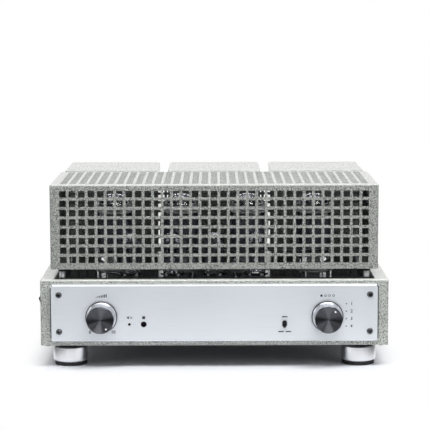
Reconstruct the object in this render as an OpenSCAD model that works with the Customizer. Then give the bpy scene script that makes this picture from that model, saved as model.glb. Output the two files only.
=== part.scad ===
// Tube integrated amplifier: steel chassis, brushed front panel, perforated tube cage
// and three transformer covers. Millimetres, +Z up, front towards -Y.
// The origin is on the floor, under the middle of the overall depth.

/* [Chassis] */
// Width of the chassis
chassis_w = 400; // [380:1:440]
// Depth of the chassis, without knobs and terminals
chassis_d = 285; // [280:1:320]
// Height of the chassis, without feet
chassis_h = 76.8; // [74:0.2:95]
// Thickness of the chassis sheet
sheet_t = 1.5; // [1:0.1:2.2]
// Width of the flanges inside the chassis
flange_w = 12; // [10:0.5:16]
// Thickness of the bottom plate
bottom_t = 1.2; // [0.8:0.1:2]
// Number of cooling slots in each row of the bottom plate
vent_count = 12; // [4:1:14]
// Length of a cooling slot
vent_l = 34; // [20:1:40]
// Width of a cooling slot
vent_w = 4; // [2:0.5:6]

/* [Feet] */
// Diameter of the metal foot
foot_d = 41; // [34:0.5:46]
// Height of the metal foot
foot_body_h = 17.7; // [12:0.1:24]
// Diameter of the rubber pad
foot_pad_d = 37.5; // [28:0.5:40]
// Height of the rubber pad
foot_pad_h = 4.8; // [3:0.1:7]
// Diameter of the rubber washer between foot and chassis
foot_collar_d = 34; // [24:0.5:38]
// Height of the rubber washer
foot_collar_h = 4.5; // [2:0.1:6]
// Distance of a foot's centre from the chassis side
foot_side = 32; // [28:0.5:50]
// Distance of a foot's centre from the chassis front and rear
foot_inset = 30.5; // [26:0.5:40]

/* [Front panel] */
// Distance of the front panel's ends from the chassis sides
panel_side = 12; // [10:0.5:17]
// Height of the front panel
panel_h = 65.4; // [62:0.2:70]
// Thickness of the front panel
panel_t = 8; // [6:0.5:10]
// Corner radius of the front panel
panel_r = 3.5; // [1:0.5:6]
// Height of the panel's lower edge above the chassis underside
panel_lift = 6.4; // [4:0.2:8]
// Distance of the panel screws from the panel's ends
panel_screw_inset = 10; // [9:0.5:16]
// Spacing of the panel screws, upper to lower
panel_screw_pitch = 42.7; // [34:0.1:46]
// Head diameter of a panel screw
panel_screw_head_d = 7.2; // [6:0.1:8]

/* [Knobs] */
// Distance of each knob from the panel's end
knob_inset = 58.7; // [48:0.1:68]
// Height of the knobs above the panel's lower edge
knob_rise = 28.7; // [24:0.1:34]
// Diameter of a knob at the panel
knob_base_d = 36.4; // [30:0.2:40]
// Diameter of a knob's front face
knob_face_d = 31.2; // [24:0.2:34]
// Length of a knob
knob_l = 22; // [14:0.5:26]
// Gap between a knob and the panel
knob_gap = 1; // [0.6:0.1:2]
// Diameter of a knob's white index dot
knob_dot_d = 2.4; // [1.5:0.1:3.5]
// Distance of the index dot from the knob's rim
knob_dot_inset = 3.4; // [2.5:0.1:5]
// Angle of the volume index, clockwise from the top
volume_angle = 148; // [-150:1:150]
// Angle of the selector index, clockwise from the top
selector_angle = 40; // [-60:1:60]
// Diameter of the control shafts
shaft_d = 6; // [4:0.5:6.5]
// Outer diameter of the control bushes
bush_d = 9; // [8.5:0.1:10]
// Diameter of the volume control's case
pot_d = 26; // [20:0.5:30]
// Length of the volume control's case
pot_l = 22; // [14:0.5:26]
// Side of the volume control's motor
motor_w = 20; // [12:0.5:22]
// Length of the volume control's motor
motor_l = 30; // [20:0.5:34]
// Diameter of the selector switch's case
selector_d = 34; // [26:0.5:38]
// Length of the selector switch's case
selector_l = 26; // [18:0.5:40]

/* [Small controls] */
// Height of the small controls above the panel's lower edge
control_rise = 19.7; // [14:0.1:24]
// Distance of the mode switch from the selector knob
mode_gap = 48.8; // [30:0.1:70]
// Width of the mode switch's slot
mode_slot_w = 5.2; // [4.6:0.1:7]
// Height of the mode switch's slot
mode_slot_h = 8.2; // [7.8:0.1:10]
// Diameter of the mode lever's tip
mode_tip_d = 4.4; // [3:0.1:4.5]
// Reach of the mode lever in front of the panel
mode_reach = 8; // [6:0.1:12]
// Tilt of the mode lever from the middle
mode_tilt = 12; // [8:0.5:14]
// Distance of the mute lamp from the volume knob
lamp_gap = 31.9; // [29:0.1:38]
// Diameter of the mute lamp
lamp_d = 2.4; // [1.8:0.1:4]
// Distance of the remote window from the mute lamp
window_gap = 16.4; // [11:0.1:27]
// Diameter of the remote window
window_d = 6; // [4:0.1:8]
// Distance of the power switch behind the chassis front
power_back = 32; // [30:0.5:60]
// Height of the power switch above the chassis underside
power_rise = 44; // [34:0.5:46]
// Width of the power rocker, front to back
rocker_w = 11; // [8:0.5:14]
// Radius of the power rocker about its pivot
rocker_r = 8.2; // [7:0.1:10]
// Reach of the power rocker's middle out of the chassis side
rocker_reach = 2.2; // [1.5:0.1:2.5]
// Tilt of the power rocker from the middle
rocker_tilt = 10; // [6:0.5:12]
// Thickness of the power switch's bezel
bezel_t = 1.2; // [0.8:0.1:1.5]
// Width of the power switch's bezel around the rocker
bezel_w = 2.2; // [1.8:0.1:4]

/* [Deck plate] */
// Distance of the deck plate's ends from the chassis sides
deck_side = 16; // [11:0.5:18]
// Depth of the deck plate
deck_d = 160; // [154:0.5:164]
// Thickness of the deck plate
deck_t = 1.5; // [1:0.1:3]
// Distance of the deck plate behind the chassis front
deck_setback = 6; // [3:0.5:8]
// Lap of the deck plate on the chassis top
deck_lap = 16; // [14.5:0.5:16]

/* [Tube cage] */
// Distance of the cage's sides from the chassis sides
cage_side = 11.5; // [8:0.5:13]
// Height of the cage
cage_h = 98; // [97:0.2:120]
// Depth of the cage
cage_d = 145.5; // [140:0.5:150]
// Distance of the cage behind the chassis front
cage_setback = 10; // [8:0.5:11]
// Gap between the cage and the deck plate
cage_gap = 8.9; // [8.5:0.1:12]
// Thickness of the cage sheet
cage_t = 1.2; // [0.8:0.1:1.6]
// Side of a square hole
hole_w = 7.4; // [5:0.1:8.5]
// Pitch of the holes
hole_pitch = 10.85; // [10:0.05:14]
// Least border beside the holes on the front
hole_border_side = 10; // [6:0.5:14]
// Least border above and below the holes
hole_border_edge = 6.5; // [5:0.5:10]
// Width of the lip along the cage's sides
lip_side_w = 14; // [13.5:0.5:15]
// Width of the lip along the cage's front and rear
lip_end_w = 10; // [9:0.5:11]
// Distance of the cage posts from the cage's sides
post_inset = 13; // [11.5:0.1:13.5]
// Distance of the front posts behind the chassis front
post_front_back = 17; // [16:0.5:18.5]
// Spacing of the posts, front to rear
post_pitch = 112; // [90:0.5:118]
// Diameter of a cage post
post_d = 7; // [6:0.1:8]
// Height of a cage post
post_h = 6; // [5:0.1:7]
// Diameter of a cage pin
pin_d = 3.9; // [3:0.1:4.5]
// Diameter of a cage pin's collar
pin_collar_d = 9; // [7.5:0.1:9.5]

/* [Transformers] */
// Distance of the outer covers from the chassis sides
cover_side = 15; // [12:0.5:18]
// Gap between neighbouring covers
cover_gap = 13; // [6:0.5:15]
// Depth of the covers
cover_d = 106; // [100:0.5:108]
// Height of the covers
cover_h = 108.2; // [96:0.2:125]
// Thickness of the cover sheet
cover_t = 1.5; // [1:0.1:2.5]
// Distance of the covers from the chassis rear
cover_inset = 7; // [4:0.5:9]
// Width of an iron core
core_w = 96; // [84:1:98]
// Height of an iron core
core_h = 80; // [70:1:88]
// Stack depth of an iron core
core_stack = 50; // [40:1:56]
// Width of an iron core's outer leg
core_leg = 16; // [12:0.5:18]
// Overhang of a coil beyond the core stack
coil_overhang = 14; // [8:0.5:18]

/* [Power tubes] */
// Spacing of the power tubes
power_pitch = 79; // [74:0.5:84]
// Distance of the power tubes behind the chassis front
power_row_back = 76; // [75:0.5:88]
// Largest diameter of the bulb
bulb_d = 50; // [46:0.5:52]
// Height of the bulb above its base
bulb_h = 74; // [60:0.5:75]
// Thickness of the bulb's glass
bulb_t = 1.2; // [0.8:0.1:1.8]
// Diameter of the power tube's base
base_d = 43; // [38:0.5:44]
// Height of the power tube's base
base_h = 14; // [10:0.5:15]
// Diameter of the power socket's ring
power_ring_d = 47; // [45:0.5:47]
// Height of the power socket's ring
power_ring_h = 1.5; // [1:0.1:2]
// Diameter of the power socket's body
power_socket_d = 36; // [33:0.5:38]
// Height of the power socket's body
power_socket_h = 17; // [14.5:0.5:20]
// Diameter of a power tube pin
power_pin_d = 2.4; // [2:0.1:2.6]
// Length of a power tube pin
power_pin_l = 11; // [8:0.5:11.5]
// Diameter of the power pins' circle
power_pin_circle = 17.5; // [17:0.1:20]
// Number of power tube pins
power_pin_count = 8; // [4:1:8]
// Diameter of the key between the pins
key_d = 8; // [6:0.2:9]
// Travel of a power tube out of its socket
power_pull = 13; // [11.5:0.5:14]

/* [Small tubes] */
// Spacing of the small tubes
small_pitch = 48.6; // [40:0.2:54]
// Distance of the small tubes behind the chassis front
small_row_back = 36; // [35:0.5:37]
// Diameter of the small bulb
small_d = 22; // [19:0.2:22.5]
// Height of the small bulb
small_h = 47; // [40:0.5:56]
// Thickness of the small bulb's glass
small_t = 1; // [0.7:0.1:1.4]
// Diameter of the small socket's ring
small_ring_d = 28; // [26:0.5:28]
// Height of the small socket's ring
small_ring_h = 1.2; // [0.8:0.1:2]
// Diameter of the small socket's body
small_socket_d = 21.4; // [19:0.2:23]
// Height of the small socket's body
small_socket_h = 11; // [9.5:0.5:14]
// Diameter of a small tube pin
small_pin_d = 1.1; // [0.8:0.1:1.2]
// Length of a small tube pin
small_pin_l = 7; // [5:0.5:7.5]
// Diameter of the small pins' circle
small_pin_circle = 11.9; // [11:0.1:13]

/* [Rear terminals] */
// Distance of the inlet's middle from the chassis side
inlet_side = 44; // [35:0.5:50]
// Width of the inlet's flange
inlet_w = 30; // [28:0.5:34]
// Height of the inlet's flange
inlet_h = 48; // [46:0.5:52]
// Thickness of the inlet's flange
inlet_t = 3; // [2:0.1:4]
// Width of the inlet's mouth
mouth_w = 24.5; // [24:0.1:25]
// Height of the inlet's mouth
mouth_h = 16.5; // [16:0.1:18]
// Depth of the inlet's mouth
mouth_d = 17; // [15:0.5:19]
// Length of an inlet blade
blade_l = 10; // [7:0.5:10.5]
// Width of the fuse drawer
drawer_w = 22; // [18:0.5:24]
// Height of the fuse drawer
drawer_h = 9; // [7:0.5:10]
// Length of the fuse drawer
drawer_l = 26; // [18:0.5:28]
// Distance of the first speaker post from the inlet's middle
speaker_start = 44; // [42:0.5:48]
// Spacing of the speaker posts
speaker_pitch = 22; // [19:0.5:23]
// Gap between the two channels' speaker posts
speaker_channel_gap = 34; // [26:0.5:36]
// Diameter of a speaker post's cap
cap_d = 14.5; // [11:0.1:15]
// Length of a speaker post's cap
cap_l = 14; // [10:0.5:16]
// Diameter of a speaker post's stud
stud_d = 7; // [6:0.1:8]
// Diameter of a plug hole in a stud
plug_d = 4; // [3.8:0.1:4.2]
// Depth of a plug hole
plug_depth = 14; // [10:0.5:16]
// Distance of the last input jack from the chassis side
jack_side = 42; // [34:0.5:46]
// Spacing of the input jacks, along the row
jack_pitch = 22; // [18:0.5:24]
// Spacing of the two rows of input jacks
jack_row_pitch = 22; // [18:0.5:26]
// Diameter of an input jack's sleeve
jack_d = 8.3; // [8.2:0.1:8.4]
// Length of an input jack's sleeve
jack_l = 9; // [8:0.5:10]
// Diameter of an input jack's centre hole
jack_hole_d = 3.3; // [3.2:0.1:3.6]
// Diameter of an input jack's flange
jack_flange_d = 13; // [11:0.5:15]
// Thickness of an input jack's flange
jack_flange_t = 2.5; // [1.5:0.1:3]

/* [Inside] */
// Width of the main circuit board
board_w = 210; // [160:1:240]
// Depth of the main circuit board
board_d = 90; // [70:1:90]
// Thickness of a circuit board
board_t = 1.6; // [1:0.1:2.4]
// Height of the posts under the main board
standoff_h = 12; // [8:0.5:16]
// Diameter of a filter capacitor
capacitor_d = 35; // [25:0.5:35]
// Height of a filter capacitor
capacitor_h = 40; // [30:0.5:42]
// Number of filter capacitors
capacitor_count = 4; // [2:1:4]

/* [Fits] */
// Radial clearance of turning and plugging fits
run_fit = 0.05; // [0.03:0.01:0.08]
// Gap between a fixed piece and its cut-out
seat_fit = 0.2; // [0.1:0.05:0.3]
// Gap between a moving piece and its stop
rest_gap = 0.1; // [0.05:0.05:0.2]
// Diameter of the case screws
screw_d = 3; // [2.5:0.1:3.5]
// Head diameter of the case screws
screw_head_d = 5.6; // [5:0.1:7]
// Head height of the case screws
screw_head_h = 1.6; // [1.2:0.1:2]
// Length of the case screws' shanks
screw_l = 8; // [6:0.5:10]
// Diameter of the foot bolts
bolt_d = 5; // [4:0.5:6]

/* [Hidden] */
// Roundness of every curve
$fn = 96;

// Levels above the floor
chassis_z = foot_pad_h + foot_body_h + foot_collar_h;
chassis_top = chassis_z + chassis_h;
deck_top = chassis_top + deck_t;
floor_z = chassis_z + bottom_t;
flange_top = floor_z + sheet_t;
panel_z = chassis_z + panel_lift;
panel_mid_z = panel_z + panel_h / 2;
knob_z = panel_z + knob_rise;
control_z = panel_z + control_rise;
power_z = chassis_z + power_rise;
cage_z = deck_top + cage_gap;
cage_top_z = cage_z + cage_h;
terminal_z = chassis_z + chassis_h / 2;

// Widths and places across, from the chassis sides inwards
panel_w = chassis_w - 2 * panel_side;
deck_w = chassis_w - 2 * deck_side;
cage_w = chassis_w - 2 * cage_side;
cover_w = (chassis_w - 2 * cover_side - 2 * cover_gap) / 3;
foot_x = chassis_w / 2 - foot_side;
panel_screw_x = panel_w / 2 - panel_screw_inset;
post_x = cage_w / 2 - post_inset;
knob_x = panel_w / 2 - knob_inset;
mode_x = knob_x - mode_gap;
lamp_x = knob_x - lamp_gap;
window_x = lamp_x - window_gap;
inlet_x = chassis_w / 2 - inlet_side;
speaker_x = inlet_x - speaker_start;

// Speaker post lengths behind the rear panel
post_flange_t = 3;
cap_gap = 0.5;
stud_end = 1.5;
stud_l = post_flange_t + cap_gap + cap_l + stud_end;

// Places from front to rear
front_reach = panel_t + knob_gap + knob_l;
front_y = -(chassis_d + stud_l - front_reach) / 2;
rear_y = front_y + chassis_d;
panel_y = front_y - panel_t;
knob_y = panel_y - knob_gap;
wall_y = front_y + sheet_t;
deck_y = front_y + deck_setback;
cage_y = front_y + cage_setback;
cage_rear_y = cage_y + cage_d;
small_y = front_y + small_row_back;
power_y = front_y + power_row_back;
cover_y = rear_y - cover_inset - cover_d;
post_ys = [front_y + post_front_back, front_y + post_front_back + post_pitch];
foot_ys = [front_y + foot_inset, rear_y - foot_inset];
switch_y = front_y + power_back;

// Rows across the width
sides = [-1, 1];
power_xs = [for (i = [-1.5:1:1.5]) i * power_pitch];
small_xs = [for (i = [-2:1:1]) i * small_pitch];
cover_xs = [for (i = [-1:1]) i * (cover_w + cover_gap)];
speaker_xs = [
    for (channel = [0, 1], i = [0:2])
        -speaker_x + i * speaker_pitch + channel * (2 * speaker_pitch + speaker_channel_gap)
];
jack_xs = [for (i = [3:-1:0]) chassis_w / 2 - jack_side - i * jack_pitch];
jack_zs = [terminal_z - jack_row_pitch / 2, terminal_z + jack_row_pitch / 2];

// Fastener places
hole_clear = 0.2;
screw_hole_d = screw_d + 2 * hole_clear;
bolt_hole_d = bolt_d + 2 * hole_clear;
flange_mid = sheet_t + flange_w / 2;
bottom_screw_xy = [
    for (sx = sides, fy = [0, 0.5, 1])
        [sx * (chassis_w / 2 - flange_mid), front_y + flange_mid + fy * (chassis_d - 2 * flange_mid)]
];
rear_screw_xz = [
    for (sz = sides, fx = [-1, 0, 1])
        [fx * (chassis_w / 2 - flange_mid), terminal_z + sz * (chassis_h / 2 - flange_mid)]
];
foot_xy = [for (sx = sides, y = foot_ys) [sx * foot_x, y]];
post_xy = [for (sx = sides, y = post_ys) [sx * post_x, y]];
panel_screw_xz = [
    for (sx = sides, sz = sides)
        [sx * panel_screw_x, panel_mid_z + sz * panel_screw_pitch / 2]
];
panel_screw_d = 4;
panel_screw_hole_d = panel_screw_d + 2 * hole_clear;

// Length that a cut runs past the face it opens
past = 1;

// Rods along the two level axes, and a plate that faces the front
module y_rod(d, l) { rotate([-90, 0, 0]) cylinder(d = d, h = l); }
module x_rod(d, l) { rotate([0, 90, 0]) cylinder(d = d, h = l); }
module front_plate(y, t) { translate([0, y + t, 0]) rotate([90, 0, 0]) linear_extrude(t) children(); }

// Cuts for a round hole through a sheet that starts at the given depth or height
module y_hole(d, y, t) { translate([0, y - past, 0]) y_rod(d, t + 2 * past); }
module z_hole(d, z, t) { translate([0, 0, z - past]) cylinder(d = d, h = t + 2 * past); }

// A box given by its middle in X, its front, its underside and its size
module block(x, y, z, size) { translate([x - size[0] / 2, y, z]) cube(size); }

// A rectangle with round corners, about its middle
module round_rect(w, h, r) {
    square([w - 2 * r, h], center = true);
    square([w, h - 2 * r], center = true);
    for (sx = sides, sy = sides) translate([sx * (w / 2 - r), sy * (h / 2 - r)]) circle(r);
}

// An upright slot with round ends, about its middle
module slot(w, h) {
    square([w, h - w], center = true);
    for (s = sides) translate([0, s * (h - w) / 2]) circle(d = w);
}

// A rectangle with a centred grid of square holes
function hole_count(length, border) = floor((length - 2 * border - hole_w) / hole_pitch) + 1;
module grille(w, h, border_w, border_h) {
    across = hole_count(w, border_w);
    up = hole_count(h, border_h);
    difference() {
        square([w, h], center = true);
        for (i = [0:across - 1], j = [0:up - 1])
            translate([(i - (across - 1) / 2) * hole_pitch, (j - (up - 1) / 2) * hole_pitch])
                square(hole_w, center = true);
    }
}

// Chassis: a folded sheet box with flanges for the bottom plate, rear panel and deck plate
module chassis() {
    inner_w = chassis_w - 2 * sheet_t;
    box_d = chassis_d - sheet_t;
    inner_d = box_d - 2 * sheet_t;
    color("#8e938f") difference() {
        block(0, front_y, chassis_z, [chassis_w, box_d, chassis_h]);
        block(0, wall_y, flange_top, [inner_w, inner_d, chassis_top - sheet_t - flange_top]);
        block(0, wall_y, chassis_z - past, [inner_w, box_d - sheet_t + past, bottom_t + past]);
        block(0, wall_y + flange_w, chassis_z,
              [inner_w - 2 * flange_w, inner_d - 2 * flange_w, chassis_h / 2]);
        block(0, rear_y - 3 * sheet_t, flange_top + flange_w,
              [inner_w - 2 * flange_w, 3 * sheet_t, chassis_top - sheet_t - flange_top - 2 * flange_w]);
        block(0, deck_y + deck_lap, chassis_top - sheet_t - past,
              [deck_w - 2 * deck_lap, deck_d - 2 * deck_lap, sheet_t + 2 * past]);
        for (sx = sides) translate([sx * knob_x, 0, knob_z])
            y_hole(bush_d + 2 * seat_fit, front_y, sheet_t);
        for (p = panel_screw_xz) translate([p[0], 0, p[1]]) y_hole(panel_screw_hole_d, front_y, sheet_t);
        translate([mode_x, 0, control_z]) y_hole(mode_slot_h + 2 * seat_fit, front_y, sheet_t);
        translate([-lamp_x, 0, control_z]) y_hole(lamp_d + 2 * seat_fit, front_y, sheet_t);
        translate([-window_x, 0, control_z]) y_hole(window_d + 2 * seat_fit, front_y, sheet_t);
        translate([-chassis_w / 2 - past, switch_y, power_z]) rotate([90, 0, 90])
            linear_extrude(sheet_t + 2 * past)
                square([switch_w + 2 * seat_fit, switch_h + 2 * seat_fit], center = true);
        for (p = bottom_screw_xy) translate([p[0], p[1], 0]) z_hole(screw_hole_d, floor_z, sheet_t);
        for (p = rear_screw_xz) translate([p[0], 0, p[1]])
            y_hole(screw_hole_d, rear_y - 2 * sheet_t, sheet_t);
        for (p = post_xy) translate([p[0], p[1], 0])
            z_hole(post_stud_d + 2 * seat_fit, chassis_top - sheet_t, sheet_t);
    }
}

// Rear panel: a flat plate behind the chassis flanges, cut for the terminals
module rear_panel() {
    color("#8e938f") difference() {
        block(0, rear_y - sheet_t, chassis_z, [chassis_w, sheet_t, chassis_h]);
        for (p = rear_screw_xz) translate([p[0], 0, p[1]]) y_hole(screw_hole_d, rear_y - sheet_t, sheet_t);
        for (x = jack_xs, z = jack_zs) translate([x, 0, z])
            y_hole(jack_d + 2 * seat_fit, rear_y - sheet_t, sheet_t);
        for (x = speaker_xs) translate([x, 0, terminal_z])
            y_hole(stud_sleeve_d + 2 * seat_fit, rear_y - sheet_t, sheet_t);
        block(-inlet_x, rear_y - sheet_t - past, terminal_z - inlet_body_h / 2 - seat_fit,
              [inlet_body_w + 2 * seat_fit, sheet_t + 2 * past, inlet_body_h + 2 * seat_fit]);
    }
}

// Bottom plate: slotted sheet with the posts that carry the main board
standoff_d = 6;
board_mid_y = (wall_y + rear_y) / 2;
standoff_xy = [
    for (sx = sides, sy = sides)
        [sx * (board_w / 2 - standoff_d), board_mid_y + sy * (board_d / 2 - standoff_d)]
];
module bottom_plate() {
    plate_w = chassis_w - 2 * sheet_t - 2 * seat_fit;
    plate_d = chassis_d - 2 * sheet_t - 2 * seat_fit;
    vent_pitch = (board_w - 6 * standoff_d) / vent_count;
    color("#3c3f3e") difference() {
        union() {
            block(0, wall_y + seat_fit, chassis_z, [plate_w, plate_d, bottom_t]);
            for (p = standoff_xy) translate([p[0], p[1], chassis_z])
                cylinder(d = standoff_d, h = bottom_t + standoff_h);
        }
        for (i = [0:vent_count - 1], sy = sides)
            block((i - (vent_count - 1) / 2) * vent_pitch, board_mid_y + sy * board_d / 4 - vent_l / 2,
                  chassis_z - past, [vent_w, vent_l, bottom_t + 2 * past]);
        for (p = bottom_screw_xy) translate([p[0], p[1], 0]) z_hole(screw_hole_d, chassis_z, bottom_t);
        for (p = foot_xy) translate([p[0], p[1], 0]) z_hole(bolt_hole_d, chassis_z, bottom_t);
    }
}

// Deck plate: the black plate that carries the tube sockets and the cage posts
module deck_plate() {
    color("#101112") difference() {
        block(0, deck_y, chassis_top, [deck_w, deck_d, deck_t]);
        for (x = power_xs) translate([x, power_y, 0])
            z_hole(power_socket_d + 2 * seat_fit, chassis_top, deck_t);
        for (x = small_xs) translate([x, small_y, 0])
            z_hole(small_socket_d + 2 * seat_fit, chassis_top, deck_t);
        for (p = post_xy) translate([p[0], p[1], 0])
            z_hole(post_stud_d + 2 * seat_fit, chassis_top, deck_t);
    }
}

// Front panel: a thick plate with round corners, recessed at the back for the control nuts
nut_d = 12;
nut_t = 2.4;
nut_room = 0.6;
nut_recess_d = 15;
module front_panel() {
    color("#c9ced6") difference() {
        front_plate(panel_y, panel_t) translate([0, panel_mid_z]) round_rect(panel_w, panel_h, panel_r);
        for (sx = sides) translate([sx * knob_x, 0, knob_z]) {
            y_hole(bush_d + 2 * seat_fit, panel_y, panel_t);
            translate([0, front_y - nut_t - nut_room, 0]) y_rod(nut_recess_d, nut_t + nut_room + past);
        }
        front_plate(panel_y - past, panel_t + 2 * past) translate([mode_x, control_z])
            slot(mode_slot_w, mode_slot_h);
        translate([-lamp_x, 0, control_z]) y_hole(lamp_d + 2 * seat_fit, panel_y, panel_t);
        translate([-window_x, 0, control_z]) y_hole(window_d + 2 * seat_fit, panel_y, panel_t);
        for (p = panel_screw_xz) translate([p[0], 0, p[1]]) y_hole(panel_screw_hole_d, panel_y, panel_t);
    }
}

// Panel screws: dome heads with a hexagon socket, held by nuts behind the chassis wall
panel_screw_head_h = 2.2;
panel_screw_round = 2;
panel_screw_tail = 6;
panel_screw_socket_d = 3;
panel_screw_socket_h = 1.2;
panel_nut_d = 8;
panel_nut_t = 3;
module panel_screw_head() {
    difference() {
        rotate_extrude() intersection() {
            square([panel_screw_head_d / 2, panel_screw_head_h]);
            translate([panel_screw_head_d / 2 - panel_screw_round, 0]) {
                circle(panel_screw_round);
                translate([-panel_screw_head_d, 0]) square([panel_screw_head_d, panel_screw_round]);
            }
        }
        translate([0, 0, panel_screw_head_h - panel_screw_socket_h])
            cylinder(d = panel_screw_socket_d, h = panel_screw_socket_h + past, $fn = 6);
    }
}
module panel_screws() {
    nut_y = panel_t + sheet_t;
    color("#d7dade") for (p = panel_screw_xz) translate([p[0], panel_y, p[1]]) {
        rotate([90, 0, 0]) panel_screw_head();
        y_rod(panel_screw_d, nut_y + panel_screw_tail);
        difference() {
            translate([0, nut_y, 0]) rotate([-90, 0, 0]) cylinder(d = panel_nut_d, h = panel_nut_t, $fn = 6);
            y_hole(panel_screw_d + 2 * run_fit, nut_y, panel_nut_t);
        }
    }
}

// Case screws: those of the bottom plate and rear panel, and the four foot bolts
bolt_head_d = 10;
bolt_head_h = 4;
bolt_tail = 5;
bolt_nut_h = 4;
module screw() {
    translate([0, 0, -screw_head_h]) cylinder(d = screw_head_d, h = screw_head_h);
    cylinder(d = screw_d, h = screw_l);
}
module case_screws() {
    bolt_z = foot_pad_h + foot_seat_h;
    color("#2b2c2d") {
        for (p = bottom_screw_xy) translate([p[0], p[1], chassis_z]) screw();
        for (p = rear_screw_xz) translate([p[0], rear_y, p[1]]) rotate([90, 0, 0]) screw();
        for (p = foot_xy) translate([p[0], p[1], bolt_z]) {
            translate([0, 0, -bolt_head_h]) cylinder(d = bolt_head_d, h = bolt_head_h);
            cylinder(d = bolt_d, h = floor_z + bolt_tail - bolt_z);
            translate([0, 0, floor_z - bolt_z]) cylinder(d = bolt_head_d, h = bolt_nut_h, $fn = 6);
        }
    }
}

// Feet: turned metal bodies with a counterbore for the bolt, a rubber washer above and a pad below
foot_seat_h = 8;
foot_bevel = 0.8;
module feet() {
    color("#c4c8cc") for (p = foot_xy) translate([p[0], p[1], foot_pad_h]) difference() {
        union() {
            cylinder(d1 = foot_d - 2 * foot_bevel, d2 = foot_d, h = foot_bevel);
            translate([0, 0, foot_bevel]) cylinder(d = foot_d, h = foot_body_h - 2 * foot_bevel);
            translate([0, 0, foot_body_h - foot_bevel])
                cylinder(d1 = foot_d, d2 = foot_d - 2 * foot_bevel, h = foot_bevel);
        }
        translate([0, 0, -past]) cylinder(d = bolt_head_d + 2 * hole_clear, h = foot_seat_h + past);
        cylinder(d = bolt_hole_d, h = foot_body_h + past);
    }
}
module foot_collars() {
    color("#17181a") for (p = foot_xy) translate([p[0], p[1], chassis_z - foot_collar_h]) difference() {
        cylinder(d = foot_collar_d, h = foot_collar_h);
        z_hole(bolt_hole_d, 0, foot_collar_h);
    }
}
module foot_pads() {
    color("#17181a") for (p = foot_xy) translate([p[0], p[1], 0]) cylinder(d = foot_pad_d, h = foot_pad_h);
}

// Tube cage: perforated front, top, sides and rear on a flat lip, with four pins
module cage_front() {
    color("#8e938f") front_plate(cage_y, cage_t) translate([0, cage_z + cage_h / 2])
        grille(cage_w, cage_h, hole_border_side, hole_border_edge);
}
module cage_top() {
    depth = cage_d - cage_t;
    color("#8e938f") translate([0, cage_rear_y - depth / 2, cage_top_z - cage_t]) linear_extrude(cage_t)
        grille(cage_w, depth, hole_border_side, hole_border_edge);
}
module cage_walls() {
    depth = cage_d - cage_t;
    height = cage_h - cage_t;
    rear_w = cage_w - 2 * cage_t - 2 * seat_fit;
    rear_h = height - cage_t;
    color("#8e938f") {
        for (sx = sides)
            translate([sx * (cage_w - cage_t) / 2, cage_rear_y - depth / 2, cage_z + height / 2])
                rotate([90, 0, 90]) linear_extrude(cage_t, center = true)
                    grille(depth, height, hole_border_edge, hole_border_edge);
        front_plate(cage_rear_y - cage_t, cage_t) translate([0, cage_z + cage_h / 2])
            grille(rear_w, rear_h, hole_border_side - cage_t - seat_fit, hole_border_edge - cage_t);
    }
}
module cage_lip() {
    lip_w = cage_w - 2 * cage_t;
    lip_d = cage_d - cage_t;
    color("#8e938f") difference() {
        block(0, cage_y + cage_t, cage_z, [lip_w, lip_d, cage_t]);
        block(0, cage_y + cage_t + lip_end_w, cage_z - past,
              [lip_w - 2 * lip_side_w, lip_d - 2 * lip_end_w, cage_t + 2 * past]);
    }
}
pin_floor = 1;
pin_l = post_h - pin_floor;
module cage_pins() {
    collar_z = deck_top + post_h + rest_gap;
    color("#17181a") for (p = post_xy) translate([p[0], p[1], collar_z]) {
        cylinder(d = pin_collar_d, h = cage_z - collar_z);
        translate([0, 0, -pin_l]) cylinder(d = pin_d, h = pin_l);
    }
}

// Cage posts: plated ferrules riveted through the deck plate and the chassis top
post_stud_d = 4;
post_rivet_d = 7;
post_rivet_h = 1;
module cage_posts() {
    stud_z = chassis_top - sheet_t;
    color("#e1e4e6") for (p = post_xy) translate([p[0], p[1], 0]) {
        difference() {
            translate([0, 0, deck_top]) cylinder(d = post_d, h = post_h);
            translate([0, 0, deck_top + pin_floor - rest_gap])
                cylinder(d = pin_d + 2 * run_fit, h = post_h);
        }
        translate([0, 0, stud_z]) cylinder(d = post_stud_d, h = deck_top - stud_z);
        translate([0, 0, stud_z - post_rivet_h]) cylinder(d = post_rivet_d, h = post_rivet_h);
    }
}

// Transformer covers: three folded boxes on the chassis top
module cover(x) {
    color("#9aa09c") difference() {
        block(x, cover_y, chassis_top, [cover_w, cover_d, cover_h]);
        block(x, cover_y + cover_t, chassis_top - past,
              [cover_w - 2 * cover_t, cover_d - 2 * cover_t, cover_h - cover_t + past]);
    }
}
module left_output_cover() { cover(cover_xs[0]); }
module power_supply_cover() { cover(cover_xs[1]); }
module right_output_cover() { cover(cover_xs[2]); }

// Transformers inside the covers: laminated cores with a coil round the middle leg
core_mid_y = cover_y + cover_d / 2;
core_window_w = (core_w - 4 * core_leg) / 2;
core_window_h = core_h - 2 * core_leg;
module transformer_cores() {
    color("#4a4d50") for (x = cover_xs) translate([x, 0, chassis_top + core_h / 2])
        front_plate(core_mid_y - core_stack / 2, core_stack) difference() {
            square([core_w, core_h], center = true);
            for (sx = sides) translate([sx * (core_leg + core_window_w / 2), 0])
                square([core_window_w, core_window_h], center = true);
        }
}
module transformer_coils() {
    coil_w = 2 * core_leg + 2 * core_window_w - 2 * seat_fit;
    coil_d = core_stack + 2 * coil_overhang;
    color("#b5652b") for (x = cover_xs)
        translate([x, core_mid_y, chassis_top + core_leg + seat_fit])
            linear_extrude(core_window_h - 2 * seat_fit) difference() {
                square([coil_w, coil_d], center = true);
                square([2 * core_leg + 2 * seat_fit, core_stack + 2 * seat_fit], center = true);
            }
}

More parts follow.
